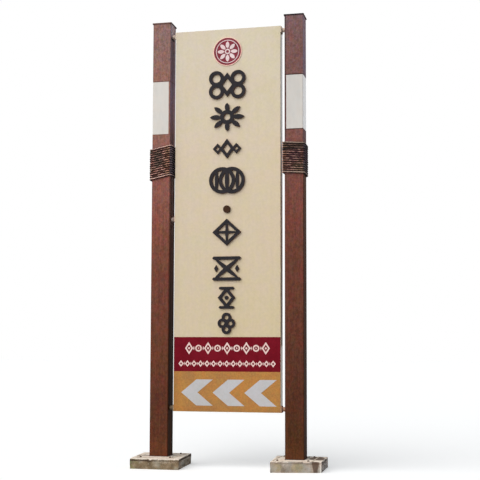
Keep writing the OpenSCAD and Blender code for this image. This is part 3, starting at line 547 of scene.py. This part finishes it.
def concrete_finish():
    """Rough concrete: a top painted paler than the sides as light from above, a painted highlight on its
    rims, painted shadow and dirt under them, stained sides, a mossy left end and a dark run.
    """
    f = Finish("concrete", 0.9, 0.12)
    x, z, right = f.axis("X"), f.axis("Z"), f.right()
    lip, left = f.attribute("lip"), f.other(right)
    lump = f.noise(9, detail=8, rough=0.65)
    grit = f.noise(90, detail=5, rough=0.7)
    stain = f.noise(6, (2.2, 2.2, 0.7), 6, 0.7)
    left_side = f.ramp(lump, (0.3, 104, 88, 68), (0.5, 138, 122, 98), (0.7, 180, 166, 146))
    right_side = f.ramp(lump, (0.3, 150, 134, 120), (0.5, 176, 164, 150), (0.7, 200, 190, 180))
    side = f.mix(right, left_side, right_side)
    side = f.mix(f.band(stain, 0.5, 0.68, 0, 0.55), side, srgb(122, 102, 80))
    pale = f.both(left, f.spot(x, z, (-0.6, 0.082), (0.16, 0.022)))
    side = f.stain(side, (214, 200, 184), 0.3, pale, f.band(grit, 0.4, 0.6))
    moss = f.both(f.band(x, -0.86, -0.95), f.band(f.noise(13, detail=5), 0.36, 0.58))
    side = f.stain(side, (124, 134, 82), 0.75, moss)
    damp = f.band(f.noise(14), 0.4, 0.6, 0.4, 1.0)
    lichen = f.either(f.spot(x, z, (0.582, 0.055), (0.06, 0.05)),
                      f.spot(x, z, (0.79, 0.05), (0.08, 0.055)))
    side = f.stain(side, (168, 156, 104), 0.45, lichen, damp)

    wide = f.line(z, 0.0, 0.11, 0.016, 0.04)
    ragged_x = f.math("ADD", x, f.both(lump, 0.02))
    run = f.band(f.math("SUBTRACT", f.off(ragged_x, 0.975), wide), 0.006, -0.006)
    front = f.band(f.normal("Y"), -0.5, -0.8)
    side = f.stain(side, (98, 76, 62), 0.85, run, front)
    side = f.stain(side, (240, 230, 220), 0.8, f.band(x, 1.004, 1.014), front)
    facing = f.band(f.normal("X"), 0.5, 0.8)
    seams = f.noise(20, (0.5, 0.5, 2.4), 5, 0.7)
    rubble = f.ramp(seams, (0.38, 74, 60, 58), (0.46, 190, 174, 164), (0.6, 250, 238, 230))
    side = f.mix(f.both(right, facing, 0.9), side, rubble)
    mottle = f.ramp(seams, (0.38, 128, 112, 96), (0.5, 178, 164, 146), (0.62, 222, 210, 196))
    side = f.mix(f.both(left, facing, 0.9), side, mottle)
    hue = f.band(f.noise(11, detail=5, rough=0.7), 0.38, 0.62)
    side = f.tint(side, (1.07, 0.985, 0.93), (0.95, 1.01, 1.05), hue)
    broken = f.band(f.noise(17, (1, 1, 0.4)), 0.32, 0.5, 0.3, 1.0)
    # Painted shadow and dirt on the sides just under the top's rim.
    under = f.both(f.band(lip, -0.1, -0.7), broken)
    strong = f.either(f.line(right, 0, 1, f.band(x, -0.62, -0.8, 0.35, 1), 0.35), facing)
    side = f.stain(side, (62, 42, 36), 0.88, under, strong)

    top = slab_top(f, lump, stain)
    # Painted highlight along the top's rims.
    rim = f.band(lip, 0.2, 0.8)
    top = f.stain(top, (255, 244, 230), 0.8, rim)
    yellow = f.both(rim, f.near(x, 0.845, 0.03, 0.02), damp)
    top = f.stain(top, (226, 222, 150), 0.7, yellow)
    # The top is painted far paler than the sides: painted light from above.
    colour = f.mix(f.band(f.normal("Z"), 0.12, 0.5), side, top)
    colour = f.shade(colour, 0.84, 1.04, f.band(grit, 0.35, 0.62))
    f.bump(f.math("ADD", lump, grit), 0.5, 0.003)
    return f.finish(colour, 0.92)


def fastener_finish():
    """Zinc with a spangle, under a cement and rust wash."""
    f = Finish("fastener", 0.6, Metallic=0.3)
    spangle = f.node("TexVoronoi", out="Color", inputs={"Vector": f.place(), "Scale": 90.0})
    wash = f.band(f.noise(7, detail=7, rough=0.7), 0.4, 0.62)
    colour = f.mix(wash, srgb(112, 98, 86), srgb(84, 60, 46))
    colour = f.mix(0.12, colour, spangle, "OVERLAY")
    f.bump(f.noise(160), 0.15, 0.0005)
    return f.finish(colour, f.band(f.noise(24), 0.3, 0.7, 0.52, 0.7))


# Slot: two tones, then roughness, depth of the flecks, specular level and the heights over which it
# grows lighter upward.
PAINTS = {
    "tray_paint": ((232, 232, 230), (224, 224, 220), 0.35),
    "holder_plastic": ((238, 238, 234), (230, 229, 224), 0.3),
    "lamp_glass": ((240, 240, 240), (232, 233, 235), 0.15),
    "frame_steel": ((120, 123, 126), (104, 105, 108), 0.6),
    "red_paint": ((109, 11, 27), (120, 18, 34), 0.6, 0.3, 0.05),
    "ochre_paint": ((172, 119, 55), (158, 110, 59), 0.5, 0.5, 0.25, (0.5, 0.68)),
    "chevron_paint": ((192, 189, 192), (186, 184, 183), 0.5, 0.15),
    "medallion_pale": ((234, 212, 212), (224, 200, 200), 0.4),
    "ring_paint": ((250, 206, 190), (244, 198, 182), 0.4),
    "medallion_red": ((130, 22, 46), (112, 16, 36), 0.4, 0.3, 0.2),
    "dot_paint": ((60, 36, 20), (52, 31, 20), 0.6, 0.3, 0.1),
    "band_cream": ((236, 206, 200), (228, 196, 188), 0.5, 0.15),
    "weld": ((70, 42, 32), (54, 34, 27), 0.6, 0.6),
    "mortar": ((230, 213, 192), (204, 184, 162), 0.9, 0.8, 0.1),
    "twine": ((150, 118, 92), (112, 84, 64), 0.9, 0.8, 0.1),
}

FINISHES = {
    "post_film": film_finish(),
    "panel_paint": panel_finish(),
    "bracket_paint": bracket_finish(),
    "ornament_black": ornament_finish(),
    "opal": opal_finish(),
    "rope": rope_finish(),
    "concrete": concrete_finish(),
    "cap_paint": cap_finish(),
    "galvanised": plate_finish(),
    "fastener": fastener_finish(),
    **{name: paint_finish(name, *values) for name, values in PAINTS.items()},
}

RECOLOUR = {"medallion_ring": "ring_paint", "ornament_dot": "dot_paint"}

for entry in frame["record"]["subparts"]:
    mesh = NODES[entry["node"]].data
    mesh.materials.clear()
    mesh.materials.append(FINISHES[RECOLOUR.get(entry["node"], entry["material_slot"])])


# ---- mesh helpers

def add_mesh(name, verts, faces, finish, sharp=180):
    """A new piece with one material, on the only body; edges over sharp degrees stay sharp."""
    mesh = bpy.data.meshes.new(name)
    mesh.from_pydata([tuple(v) for v in verts], [], [tuple(f) for f in faces])
    mesh.validate()
    mesh.update()
    mesh.materials.append(FINISHES[finish])
    smooth_mesh(mesh, sharp)
    piece = add_object(name, mesh)
    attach(piece, "root")
    return piece


def smooth_mesh(mesh, sharp):
    mesh.polygons.foreach_set("use_smooth", [True] * len(mesh.polygons))
    if sharp < 180:
        mesh.set_sharp_from_angle(angle=math.radians(sharp))


def set_attribute(piece, name, values):
    """Stores one number per vertex for the material."""
    layer = piece.data.attributes.new(name, "FLOAT", "POINT")
    layer.data.foreach_set("value", np.asarray(values, np.float32))


def tube_faces(rings, sides, closed=False, base=0):
    """Quads along a tube of rings, and its end caps unless it closes on itself."""
    faces = []
    for i in range(rings if closed else rings - 1):
        j = (i + 1) % rings
        for k in range(sides):
            m = (k + 1) % sides
            faces.append([base + a * sides + b for a, b in ((i, k), (i, m), (j, m), (j, k))])
    if not closed:
        last = base + (rings - 1) * sides
        faces += [list(range(base, base + sides))[::-1], list(range(last, last + sides))]
    return faces


def wobble(values, scale, seed):
    """Smooth noise in -1 to 1 along a list of numbers."""
    return np.array([noise.noise(Vector((v * scale, seed, 0.37))) for v in values])


# ---- rope windings

ROPE_R = 0.01175
ROPE_TURNS = 14
ROPE_GAP = 0.0006
ROPE_FIT = 0.0003
ROPE_OUT = POST_HALF + ROPE_FIT + ROPE_R * math.cos(math.pi / 6)
POST_CORNER = 0.008
ROPE_CORNER = POST_CORNER + ROPE_OUT - POST_HALF
ROPE_MID = 3.255
RUN = 2 * (ROPE_OUT - ROPE_CORNER)
ARC = ROPE_CORNER * math.pi / 2
TURN = 4 * (RUN + ARC)
STRANDS = 3
STRAND_R = 0.0054
STRAND_OFF = 0.0063
LAY = 0.118
FLAT = 0.0101
ROPE_STEP = 0.004
ROPE_SIDES = 10
ROPE_SWAY, STRAND_SWELL, LAY_DRIFT = 0.0003, 0.05, 0.12
TAPER_FROM, TAPER_OVER = 0.86, 0.12
YARN_PITCH = 0.006
ROPE_SLACK, SLACK_FROM, SLACK_OVER = 0.007, 0.085, 0.03
WHIPPING_R, TWINE_R = 0.0104, 0.0005
TUFT_YARNS, TUFT_R = 26, 0.0085
FUZZ_FIBRES, FUZZ_AT = 260, 0.0095
FIBRE_RINGS = 5


def winding_route(slope):
    """Lengths, centres, outward and upward directions along the tilted square helix, at the origin."""
    s = np.linspace(0, ROPE_TURNS * TURN, int(ROPE_TURNS * TURN / ROPE_STEP) + 1)
    m = s % TURN
    first = m < RUN / 2
    w = np.maximum(m - RUN / 2, 0)
    k = np.floor(w / (RUN + ARC))
    r = w - k * (RUN + ARC)
    a = np.where(first, np.pi / 2, np.pi / 2 * (1 + k + np.minimum(r / ARC, 1)))
    q = np.pi / 4 + np.pi / 2 * (k + 1)
    core = (ROPE_OUT - ROPE_CORNER) * math.sqrt(2)
    along = np.maximum(r - ARC, 0)
    x = np.where(first, -m, core * np.cos(q) + ROPE_CORNER * np.cos(a) - along * np.sin(a))
    y = np.where(first, ROPE_OUT, core * np.sin(q) + ROPE_CORNER * np.sin(a) + along * np.cos(a))
    pitch = (2 * ROPE_R + ROPE_GAP) * math.sqrt(1 + slope * slope)
    z = pitch * (s / TURN - ROPE_TURNS / 2) + slope * x
    centre = np.stack([x, y, z], 1)
    out = np.stack([np.cos(a), np.sin(a), 0 * a], 1)
    tangent = np.gradient(centre, axis=0)
    tangent /= np.linalg.norm(tangent, axis=1)[:, None]
    up = np.cross(out, tangent)
    up /= np.linalg.norm(up, axis=1)[:, None]
    return s, centre, out, up


def place_winding(name, side, verts, faces, finish):
    """Adds a piece of a winding, mirrored for the right post and a little slack on the -X face."""
    verts = np.asarray(verts, float)
    verts[:, 0] *= -side
    loose = np.clip((-verts[:, 0] - SLACK_FROM) / SLACK_OVER, 0, 1)
    verts[:, 0] -= ROPE_SLACK * loose * loose * (3 - 2 * loose)
    if side > 0:
        faces = [f[::-1] for f in faces]
    return add_mesh(name, verts + [side * POST_X, 0, ROPE_MID], faces, finish)


def rope_winding(name, side, slope, seed):
    """One rope of three laid strands round a post, pressed flat against it."""
    s, centre, out, up = winding_route(slope)
    sides = ROPE_SIDES
    centre = centre + up * (wobble(s, 9, seed) * ROPE_SWAY)[:, None]
    swell = 1 + STRAND_SWELL * wobble(s, 23, seed + 5)
    taper = np.clip(TAPER_FROM + np.minimum(s, s[-1] - s) / TAPER_OVER, 0, 1)
    turns = s / LAY + LAY_DRIFT * wobble(s, 6, seed + 8)
    verts, faces, crowns, lays, rises = [], [], [], [], []
    angles = 2 * np.pi * np.arange(sides) / sides
    for strand in range(STRANDS):
        phase = 2 * np.pi * (strand / STRANDS + turns)
        cx = STRAND_OFF * np.cos(phase) * taper
        cy = STRAND_OFF * np.sin(phase) * taper
        radius = STRAND_R * swell * taper
        o = cx[:, None] + radius[:, None] * np.cos(angles[None, :])
        u = cy[:, None] + radius[:, None] * np.sin(angles[None, :])
        crown = np.hypot(o, u) / (STRAND_OFF + STRAND_R)
        o = np.maximum(o, -FLAT + 0.0002 * strand)
        points = centre[:, None, :] + o[..., None] * out[:, None, :] + u[..., None] * up[:, None, :]
        faces += tube_faces(len(s), sides, base=sum(len(v) for v in verts))
        verts.append(points.reshape(-1, 3))
        crowns.append(crown.reshape(-1))
        rises.append(u.reshape(-1) / (STRAND_OFF + STRAND_R))
        lays.append((s[:, None] / YARN_PITCH + angles[None, :] * 2 / np.pi).reshape(-1))
    turn = np.tile(np.repeat(s / TURN, sides), STRANDS)
    # 1 on the first and last turns, which the material gives a painted highlight.
    end_turns = np.clip(1.25 - np.minimum(turn, ROPE_TURNS - turn), 0, 1)
    piece = place_winding(name, side, np.concatenate(verts), faces, "rope")
    for attribute, values in (("crown", crowns), ("lay", lays), ("end_turns", [end_turns]), ("rise", rises)):
        set_attribute(piece, attribute, np.concatenate(values))
    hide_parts(name.replace("_winding", ""))
    for word, end in (("lower", 0), ("upper", -1)):
        rope_whipping(f"{name}_{word}_whipping", side, s, centre, out, up, end)
        rope_tuft(f"{name}_{word}_tuft", side, centre, out, up, end, seed + end)
    rope_fuzz(name + "_fuzz", side, centre, out, up, seed)


def rope_whipping(name, side, s, centre, out, up, end):
    """Thin twine bound round a rope end."""
    turns, per_turn, sides = 9, 16, 5
    inset, pitch = 0.004, 0.0016
    at = np.linspace(inset, inset + turns * pitch, turns * per_turn + 1)
    s_at = at if end == 0 else s[-1] - at
    mid, o_dir, u_dir = (np.array([np.interp(s_at, s, path[:, c]) for c in range(3)]).T
                         for path in (centre, out, up))
    along = np.cross(u_dir, o_dir)
    a = 2 * np.pi * np.arange(len(at)) / per_turn
    verts = []
    for i, angle in enumerate(a):
        ring_o = o_dir[i] * math.cos(angle) + u_dir[i] * math.sin(angle)
        for k in range(sides):
            b = 2 * math.pi * k / sides
            p = ring_o * (WHIPPING_R + TWINE_R * math.cos(b))
            reach = float(np.dot(p, o_dir[i]))
            p = p + o_dir[i] * (max(reach, -FLAT) - reach)
            verts.append(mid[i] + p + along[i] * TWINE_R * 1.3 * math.sin(b))
    place_winding(name, side, verts, tube_faces(len(a), sides), "twine")


def fibre(verts, faces, start, direction, droop, length, radius, sides=3):
    """Adds one thin closed fibre, curved by droop, to the lists."""
    base = len(verts)
    across = direction.orthogonal().normalized()
    other = direction.cross(across).normalized()
    for i in range(FIBRE_RINGS):
        t = i / (FIBRE_RINGS - 1)
        mid = start + direction * length * t + droop * length * t * t
        r = radius * (1 - 0.55 * t)
        for k in range(sides):
            b = 2 * math.pi * k / sides
            verts.append(mid + across * r * math.cos(b) + other * r * math.sin(b))
    faces += tube_faces(FIBRE_RINGS, sides, base=base)


def rope_tuft(name, side, centre, out, up, end, seed):
    """Frayed yarns at a rope's cut end."""
    dice = random.Random(seed + 40)
    inner = 3 if end == 0 else -4
    tip = Vector(centre[end])
    away = (tip - Vector(centre[inner])).normalized()
    o_dir, u_dir = Vector(out[end]), Vector(up[end])
    verts, faces = [], []
    for _ in range(TUFT_YARNS):
        angle, r = dice.uniform(0, 2 * math.pi), TUFT_R * math.sqrt(dice.random())
        o, u = max(r * math.cos(angle), -0.008), r * math.sin(angle)
        start = tip - away * 0.004 + o_dir * o + u_dir * u
        lean = away + o_dir * (0.18 + dice.uniform(0, 0.35)) + u_dir * u * 22
        droop = o_dir * dice.uniform(0, 0.15) + Vector((0, 0, -dice.uniform(0, 0.3)))
        fibre(verts, faces, start, lean.normalized(), droop, dice.uniform(0.012, 0.026), 0.0009, 4)
    place_winding(name, side, verts, faces, "twine")


def rope_fuzz(name, side, centre, out, up, seed):
    """Loose fibres that stand off the rope."""
    dice = random.Random(seed + 90)
    verts, faces = [], []
    for _ in range(FUZZ_FIBRES):
        i = dice.randrange(20, len(centre) - 20)
        angle = dice.uniform(-1.1, 1.1)
        o_dir, u_dir = Vector(out[i]), Vector(up[i])
        ray = o_dir * math.cos(angle) + u_dir * math.sin(angle)
        along = (Vector(centre[i + 1]) - Vector(centre[i])).normalized() * dice.choice((-1, 1))
        start = Vector(centre[i]) + ray * FUZZ_AT
        lean = along + ray * dice.uniform(0.25, 0.6) + u_dir * dice.uniform(-0.3, 0.3)
        droop = -ray * dice.uniform(0, 0.3)
        fibre(verts, faces, start, lean.normalized(), droop, dice.uniform(0.006, 0.014), 0.00022)
    place_winding(name, side, verts, faces, "twine")


rope_winding("left_rope_winding", -1, 0.18, 2)
rope_winding("right_rope_winding", 1, 0.04, 6)


# ---- footings

def round_loop(half_x, half_y, corner):
    """Corner points of a rectangle with rounded corners, anticlockwise."""
    loop, steps = [], 6
    for quarter in range(4):
        q = math.pi / 4 + quarter * math.pi / 2
        cx = math.copysign(half_x - corner, math.cos(q))
        cy = math.copysign(half_y - corner, math.sin(q))
        for i in range(steps + 1):
            a = quarter * math.pi / 2 + math.pi / 2 * i / steps
            loop.append((cx + corner * math.cos(a), cy + corner * math.sin(a)))
    return loop


def prism(loops, low, high):
    """A cutter: upright prisms on the loops."""
    verts, faces = [], []
    for loop in loops:
        faces += tube_faces(2, len(loop), base=len(verts))
        verts += [(x, y, z) for z in (low, high) for x, y in loop]
    mesh = bpy.data.meshes.new("cutter")
    mesh.from_pydata(verts, [], faces)
    return add_object("cutter", mesh)


def evaluated_mesh(thing):
    """A mesh of an object as its modifiers or its curve settings leave it."""
    bpy.context.view_layer.update()
    return bpy.data.meshes.new_from_object(thing.evaluated_get(bpy.context.evaluated_depsgraph_get()))


def carve(piece, cutters):
    """Cuts the cutters out of a piece for good."""
    for cutter in cutters:
        cut = piece.modifiers.new("cut", "BOOLEAN")
        cut.operation = "DIFFERENCE"
        cut.solver = "EXACT"
        cut.object = cutter
    mesh = evaluated_mesh(piece)
    piece.modifiers.clear()
    smooth_mesh(mesh, PAD_SHARP)
    piece.data = mesh
    for cutter in cutters:
        bpy.data.objects.remove(cutter)


def circle(x, y, r, n=32):
    angles = [2 * math.pi * i / n for i in range(n)]
    return [(x + r * math.cos(angle), y + r * math.sin(angle)) for angle in angles]


def block_grid(nx, ny, nz):
    """Vertices in -1 to 1, -1 to 1 and 0 to 1, and quads, of a block's gridded surface."""
    index, faces = {}, []

    def quad(*keys):
        faces.append([index.setdefault(key, len(index)) for key in keys])

    for i in range(nx):
        for j in range(ny):
            quad((i, j, nz), (i + 1, j, nz), (i + 1, j + 1, nz), (i, j + 1, nz))
            quad((i, j, 0), (i, j + 1, 0), (i + 1, j + 1, 0), (i + 1, j, 0))
        for k in range(nz):
            quad((i, 0, k), (i + 1, 0, k), (i + 1, 0, k + 1), (i, 0, k + 1))
            quad((i + 1, ny, k), (i, ny, k), (i, ny, k + 1), (i + 1, ny, k + 1))
    for j in range(ny):
        for k in range(nz):
            quad((0, j + 1, k), (0, j, k), (0, j, k + 1), (0, j + 1, k + 1))
            quad((nx, j, k), (nx, j + 1, k), (nx, j + 1, k + 1), (nx, j, k + 1))
    return [(i / nx * 2 - 1, j / ny * 2 - 1, k / nz) for i, j, k in index], faces


PLATE_HALF = (0.2, 0.245)
PAD_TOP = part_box("left_footing")[1].z
PLATE_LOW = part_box("left_base_plate")[0].z
PAD_GRID = (60, 68, 12)
PAD_HALF = (0.27, 0.318)
LIP, FRONT_LIP = 0.025, 0.06
BOLT_AT, BOLT_R, BOLT_DEPTH = (0.16, 0.205), 0.0065, 0.065
CONDUIT_R = 0.02
POCKET_GAP, POCKET_CORNER = 0.0003, 0.0153
PAD_SHARP = 38
RIM, EDGE_H, WEAR_OVER = 0.075, 0.014, 0.06
BEAD_STEP, BEAD_GAP = 0.005, 0.0002


def footing_slab(name, side, corners, drop, chips, break_depth, seed):
    """Rough cast pad: a skewed block with a worn rim, chips, a pocket for the plate and its bores.

    drop lowers the front rim, chips are (x, y, size, depth), break_depth eats the right side,
    and the lip attribute is 1 on the top's rim and below 0 right under it.
    """
    grid, faces = block_grid(*PAD_GRID)
    front_left, front_right, back_right, back_left = [Vector(p) for p in corners]
    placed, lips = [], []
    for u, v, w in grid:
        a, b = (u + 1) / 2, (v + 1) / 2
        front = front_left * (1 - a) + front_right * a
        back = back_left * (1 - a) + back_right * a
        spot = front * (1 - b) + back * b
        p = Vector((spot.x, spot.y, w * PAD_TOP))
        q = p + Vector((seed, 0, 0))
        rough = noise.fractal(q * 28, 0.8, 2.1, 4)
        outside = max(abs(p.x) - PLATE_HALF[0], abs(p.y) - PLATE_HALF[1])
        fall = drop * min(1, max(0, -p.y - PLATE_HALF[1]) / RIM)
        if abs(u) == 1 or abs(v) == 1:
            outward = Vector((u if abs(u) == 1 else 0, v if abs(v) == 1 else 0, 0)).normalized()
            near_top = max(0, 1 - (1 - w) * PAD_TOP / EDGE_H)
            p -= outward * (0.002 + 0.0025 * rough + 0.002 * near_top ** 2 + 0.004 * (1 - w))
            if u == 1 and break_depth:
                bite = max(0, noise.noise(q * 17)) + 0.45
                p.x -= break_depth * bite * w * w * min(1, (1 + v) * 3)
        if w > 0:
            worn = max(0, outside - 0.006) / WEAR_OVER
            sunk = fall + 0.0005 + min(1, worn) * (0.0016 + 0.0022 * rough)
            p.z -= w * (sunk + 0.004 * max(0, worn - 0.85))
        for cx, cy, size, depth in chips:
            bite = max(0, 1 - math.hypot(p.x - cx, p.y - cy) / (size * (1 + 0.4 * rough)))
            p.z -= w * w * depth * min(1, 1.8 * bite)
        p.z = max(p.z, 0.0)
        placed.append(p + Vector((side * POST_X, 0, 0)))
        inset = min((1 - abs(u)) * PAD_HALF[0] / LIP, (1 - v) * PAD_HALF[1] / LIP,
                    (1 + v) * PAD_HALF[1] / FRONT_LIP)
        under = -1 if w > 0.8 and max(abs(u), abs(v)) == 1 else 0
        lips.append(max(0, 1 - inset) if w == 1 else under)
    piece = add_mesh(name + "_slab", placed, faces, "concrete", sharp=PAD_SHARP)
    set_attribute(piece, "lip", lips)
    x = side * POST_X
    rim = round_loop(PLATE_HALF[0] + POCKET_GAP, PLATE_HALF[1] + POCKET_GAP, POCKET_CORNER)
    pocket = prism([[(x + a, b) for a, b in rim]], PLATE_LOW, PAD_TOP + 0.05)
    bolts = [circle(x + i * BOLT_AT[0], j * BOLT_AT[1], BOLT_R, 20) for i in (-1, 1) for j in (-1, 1)]
    carve(piece, [pocket, prism(bolts, PLATE_LOW - BOLT_DEPTH, PLATE_LOW + 0.02),
                  prism([circle(x, 0, CONDUIT_R)], -0.02, PLATE_LOW + 0.02)])
    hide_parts(name)


footing_slab("left_footing", -1,
             [(-0.245, -0.318), (0.288, -0.319), (0.248, 0.318), (-0.294, 0.306)], 0.006,
             [(-0.02, -0.319, 0.03, 0.005), (0.27, 0.12, 0.04, 0.004)], 0, 3.1)
footing_slab("right_footing", 1,
             [(-0.216, -0.316), (0.2965, -0.212), (0.291, 0.318), (-0.262, 0.318)], 0.0,
             [(0.288, 0.03, 0.05, 0.012), (0.29, 0.21, 0.05, 0.012)], 0.008, 8.4)


# ---- welds and mortar at the feet

def square_bead(name, side, half, corner, out_r, up_r, ripple, finish, seed):
    """Lumpy bead round a rectangle of the given half sizes on a pad's top."""
    path, sides = [], 8
    loop = [Vector(p) for p in round_loop(*half, corner)]
    for here, after in zip(loop, loop[1:] + loop[:1]):
        count = max(1, round((after - here).length / BEAD_STEP))
        path += [here.lerp(after, k / count) for k in range(count)]
    verts = []
    for i, here in enumerate(path):
        along = (path[(i + 1) % len(path)] - path[i - 1]).normalized()
        out = Vector((along.y, -along.x, 0))
        swell = 1 + ripple * noise.noise(Vector((i * 0.35, seed, 0)))
        for k in range(sides):
            a = 2 * math.pi * k / sides
            o, u = math.cos(a) * out_r * swell, math.sin(a) * up_r * swell
            if finish == "weld":
                o = max(o, BEAD_GAP)
            spot = Vector((here.x, here.y, 0)) + out * o
            verts.append(spot + Vector((side * POST_X, 0, PAD_TOP + max(u, BEAD_GAP))))
    return add_mesh(name, verts, tube_faces(len(path), sides, closed=True), finish)


for word, side in SIDES.items():
    square_bead(word + "_foot_weld", side, (POST_HALF, POST_HALF), POST_CORNER,
                0.006, 0.006, 0.3, "weld", side)
    square_bead(word + "_mortar_joint", side, PLATE_HALF, 0.015, 0.009, 0.0013, 0.7, "mortar", side + 4)


# ---- friezes on the red band

BAND_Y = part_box("red_band")[0].y
FRIEZE_T, FRIEZE_BEVEL = 0.001, 0.0002


def frieze(name, loops):
    """Flat closed loops in x and z, filled even-odd, with a thin bevelled edge, on the red band."""
    curve = bpy.data.curves.new(name, "CURVE")
    curve.dimensions = "2D"
    curve.fill_mode = "BOTH"
    curve.extrude = FRIEZE_T / 2 - FRIEZE_BEVEL
    curve.bevel_depth = FRIEZE_BEVEL
    curve.bevel_resolution = 1
    curve.offset = -FRIEZE_BEVEL
    for loop in loops:
        spline = curve.splines.new("POLY")
        spline.points.add(len(loop) - 1)
        for point, (x, z) in zip(spline.points, loop):
            point.co = (x, z, 0, 1)
        spline.use_cyclic_u = True
    source = add_object(name, curve)
    mesh = evaluated_mesh(source)
    bpy.data.objects.remove(source)
    verts = [(v.co.x, BAND_Y - FRIEZE_T / 2 - v.co.z, v.co.y) for v in mesh.vertices]
    faces = [tuple(p.vertices) for p in mesh.polygons]
    bpy.data.meshes.remove(mesh)
    add_mesh(name, verts, faces, "band_cream", sharp=20)


def diamond(cx, cz, w, h):
    return [(cx - w / 2, cz), (cx, cz - h / 2), (cx + w / 2, cz), (cx, cz + h / 2)]


def frieze_row(name, left, right, z, units, unit, link):
    """A frieze of units in a row, with a small lozenge of size link between them."""
    pitch, loops = (right - left) / units, []
    for i in range(units):
        x = left + (i + 0.5) * pitch
        loops += unit(x, z, i)
        if i < units - 1:
            loops.append(diamond(x + pitch / 2, z, *link))
    frieze(name, loops)


def ring_or_lozenge(x, z, i):
    """In turn an open lozenge round a boss and a ring round a small lozenge."""
    if i % 2:
        return [circle(x, z, 0.036, 40), circle(x, z, 0.021, 40), diamond(x, z, 0.016, 0.026)]
    return [diamond(x, z, 0.088, 0.132), diamond(x, z, 0.052, 0.078), circle(x, z, 0.011, 20)]


def small_lozenge(x, z, i):
    return [diamond(x, z, 0.057, 0.070), diamond(x, z, 0.025, 0.031)]


frieze_row("upper_frieze", -0.462, 0.474, 1.253, 9, ring_or_lozenge, (0.015, 0.044))
frieze_row("lower_frieze", -0.533, 0.536, 1.0905, 15, small_lozenge, (0.011, 0.040))


# ---- softened edges on the ornaments

def soften(node):
    """Rounds a node's sharp edges a little, so that they catch the light."""
    bevel = NODES[node].modifiers.new("edge", "BEVEL")
    bevel.width = 0.0018
    bevel.segments = 2
    bevel.limit_method = "ANGLE"
    bevel.angle_limit = math.radians(50)
    bevel.use_clamp_overlap = False


for node in NODES:
    if node.startswith("ornament_"):
        soften(node)


# ---- light, floor and backdrop

def add_sun():
    """One soft key light from the front left."""
    lamp = bpy.data.lights.new("sun", "SUN")
    lamp.energy = 3.2
    lamp.angle = math.radians(80)
    lamp.color = (1, 0.985, 0.96)
    sun = add_object("sun", lamp)
    sun.rotation_euler = Vector((0.42, 0.72, -0.62)).to_track_quat("-Z", "Y").to_euler()


def add_world():
    """Even studio light; the camera, gloss and glass see it as white."""
    world = bpy.data.worlds.new("world")
    bpy.context.scene.world = world
    g = Graph(world)
    g.tree.nodes.clear()
    light = g.node("Background", inputs={"Color": (0.8, 0.9, 1, 1), "Strength": 0.24})
    white = g.node("Background", inputs={"Color": (1, 1, 1, 1), "Strength": 1})
    shader = g.node("MixShader", inputs={0: g.seen_directly(), 1: light, 2: white})
    g.node("OutputWorld", inputs={0: shader})


def add_floor():
    """Pale floor that keeps the shadow and runs into the white background."""
    size = 80
    floor = add_object("floor", bpy.data.meshes.new("floor"))
    corners = [(-size, -size, 0), (size, -size, 0), (size, size, 0), (-size, size, 0)]
    floor.data.from_pydata(corners, [], [(0, 1, 2, 3)])
    mat = bpy.data.materials.new("floor")
    g = Graph(mat)
    g.tree.nodes.clear()
    seen = g.seen_directly()
    tone = g.mix(seen, (0.45, 0.45, 0.45, 1), (0.8, 0.8, 0.8, 1))
    diffuse = g.node("BsdfDiffuse", inputs={"Color": tone})
    glow = g.node("Emission", inputs={"Strength": g.both(seen, 0.36)})
    shader = g.node("AddShader", inputs={0: diffuse, 1: glow})
    g.node("OutputMaterial", inputs={"Surface": shader})
    floor.data.materials.append(mat)


add_sun()
add_world()
add_floor()
bpy.context.scene.view_settings.view_transform = "Standard"
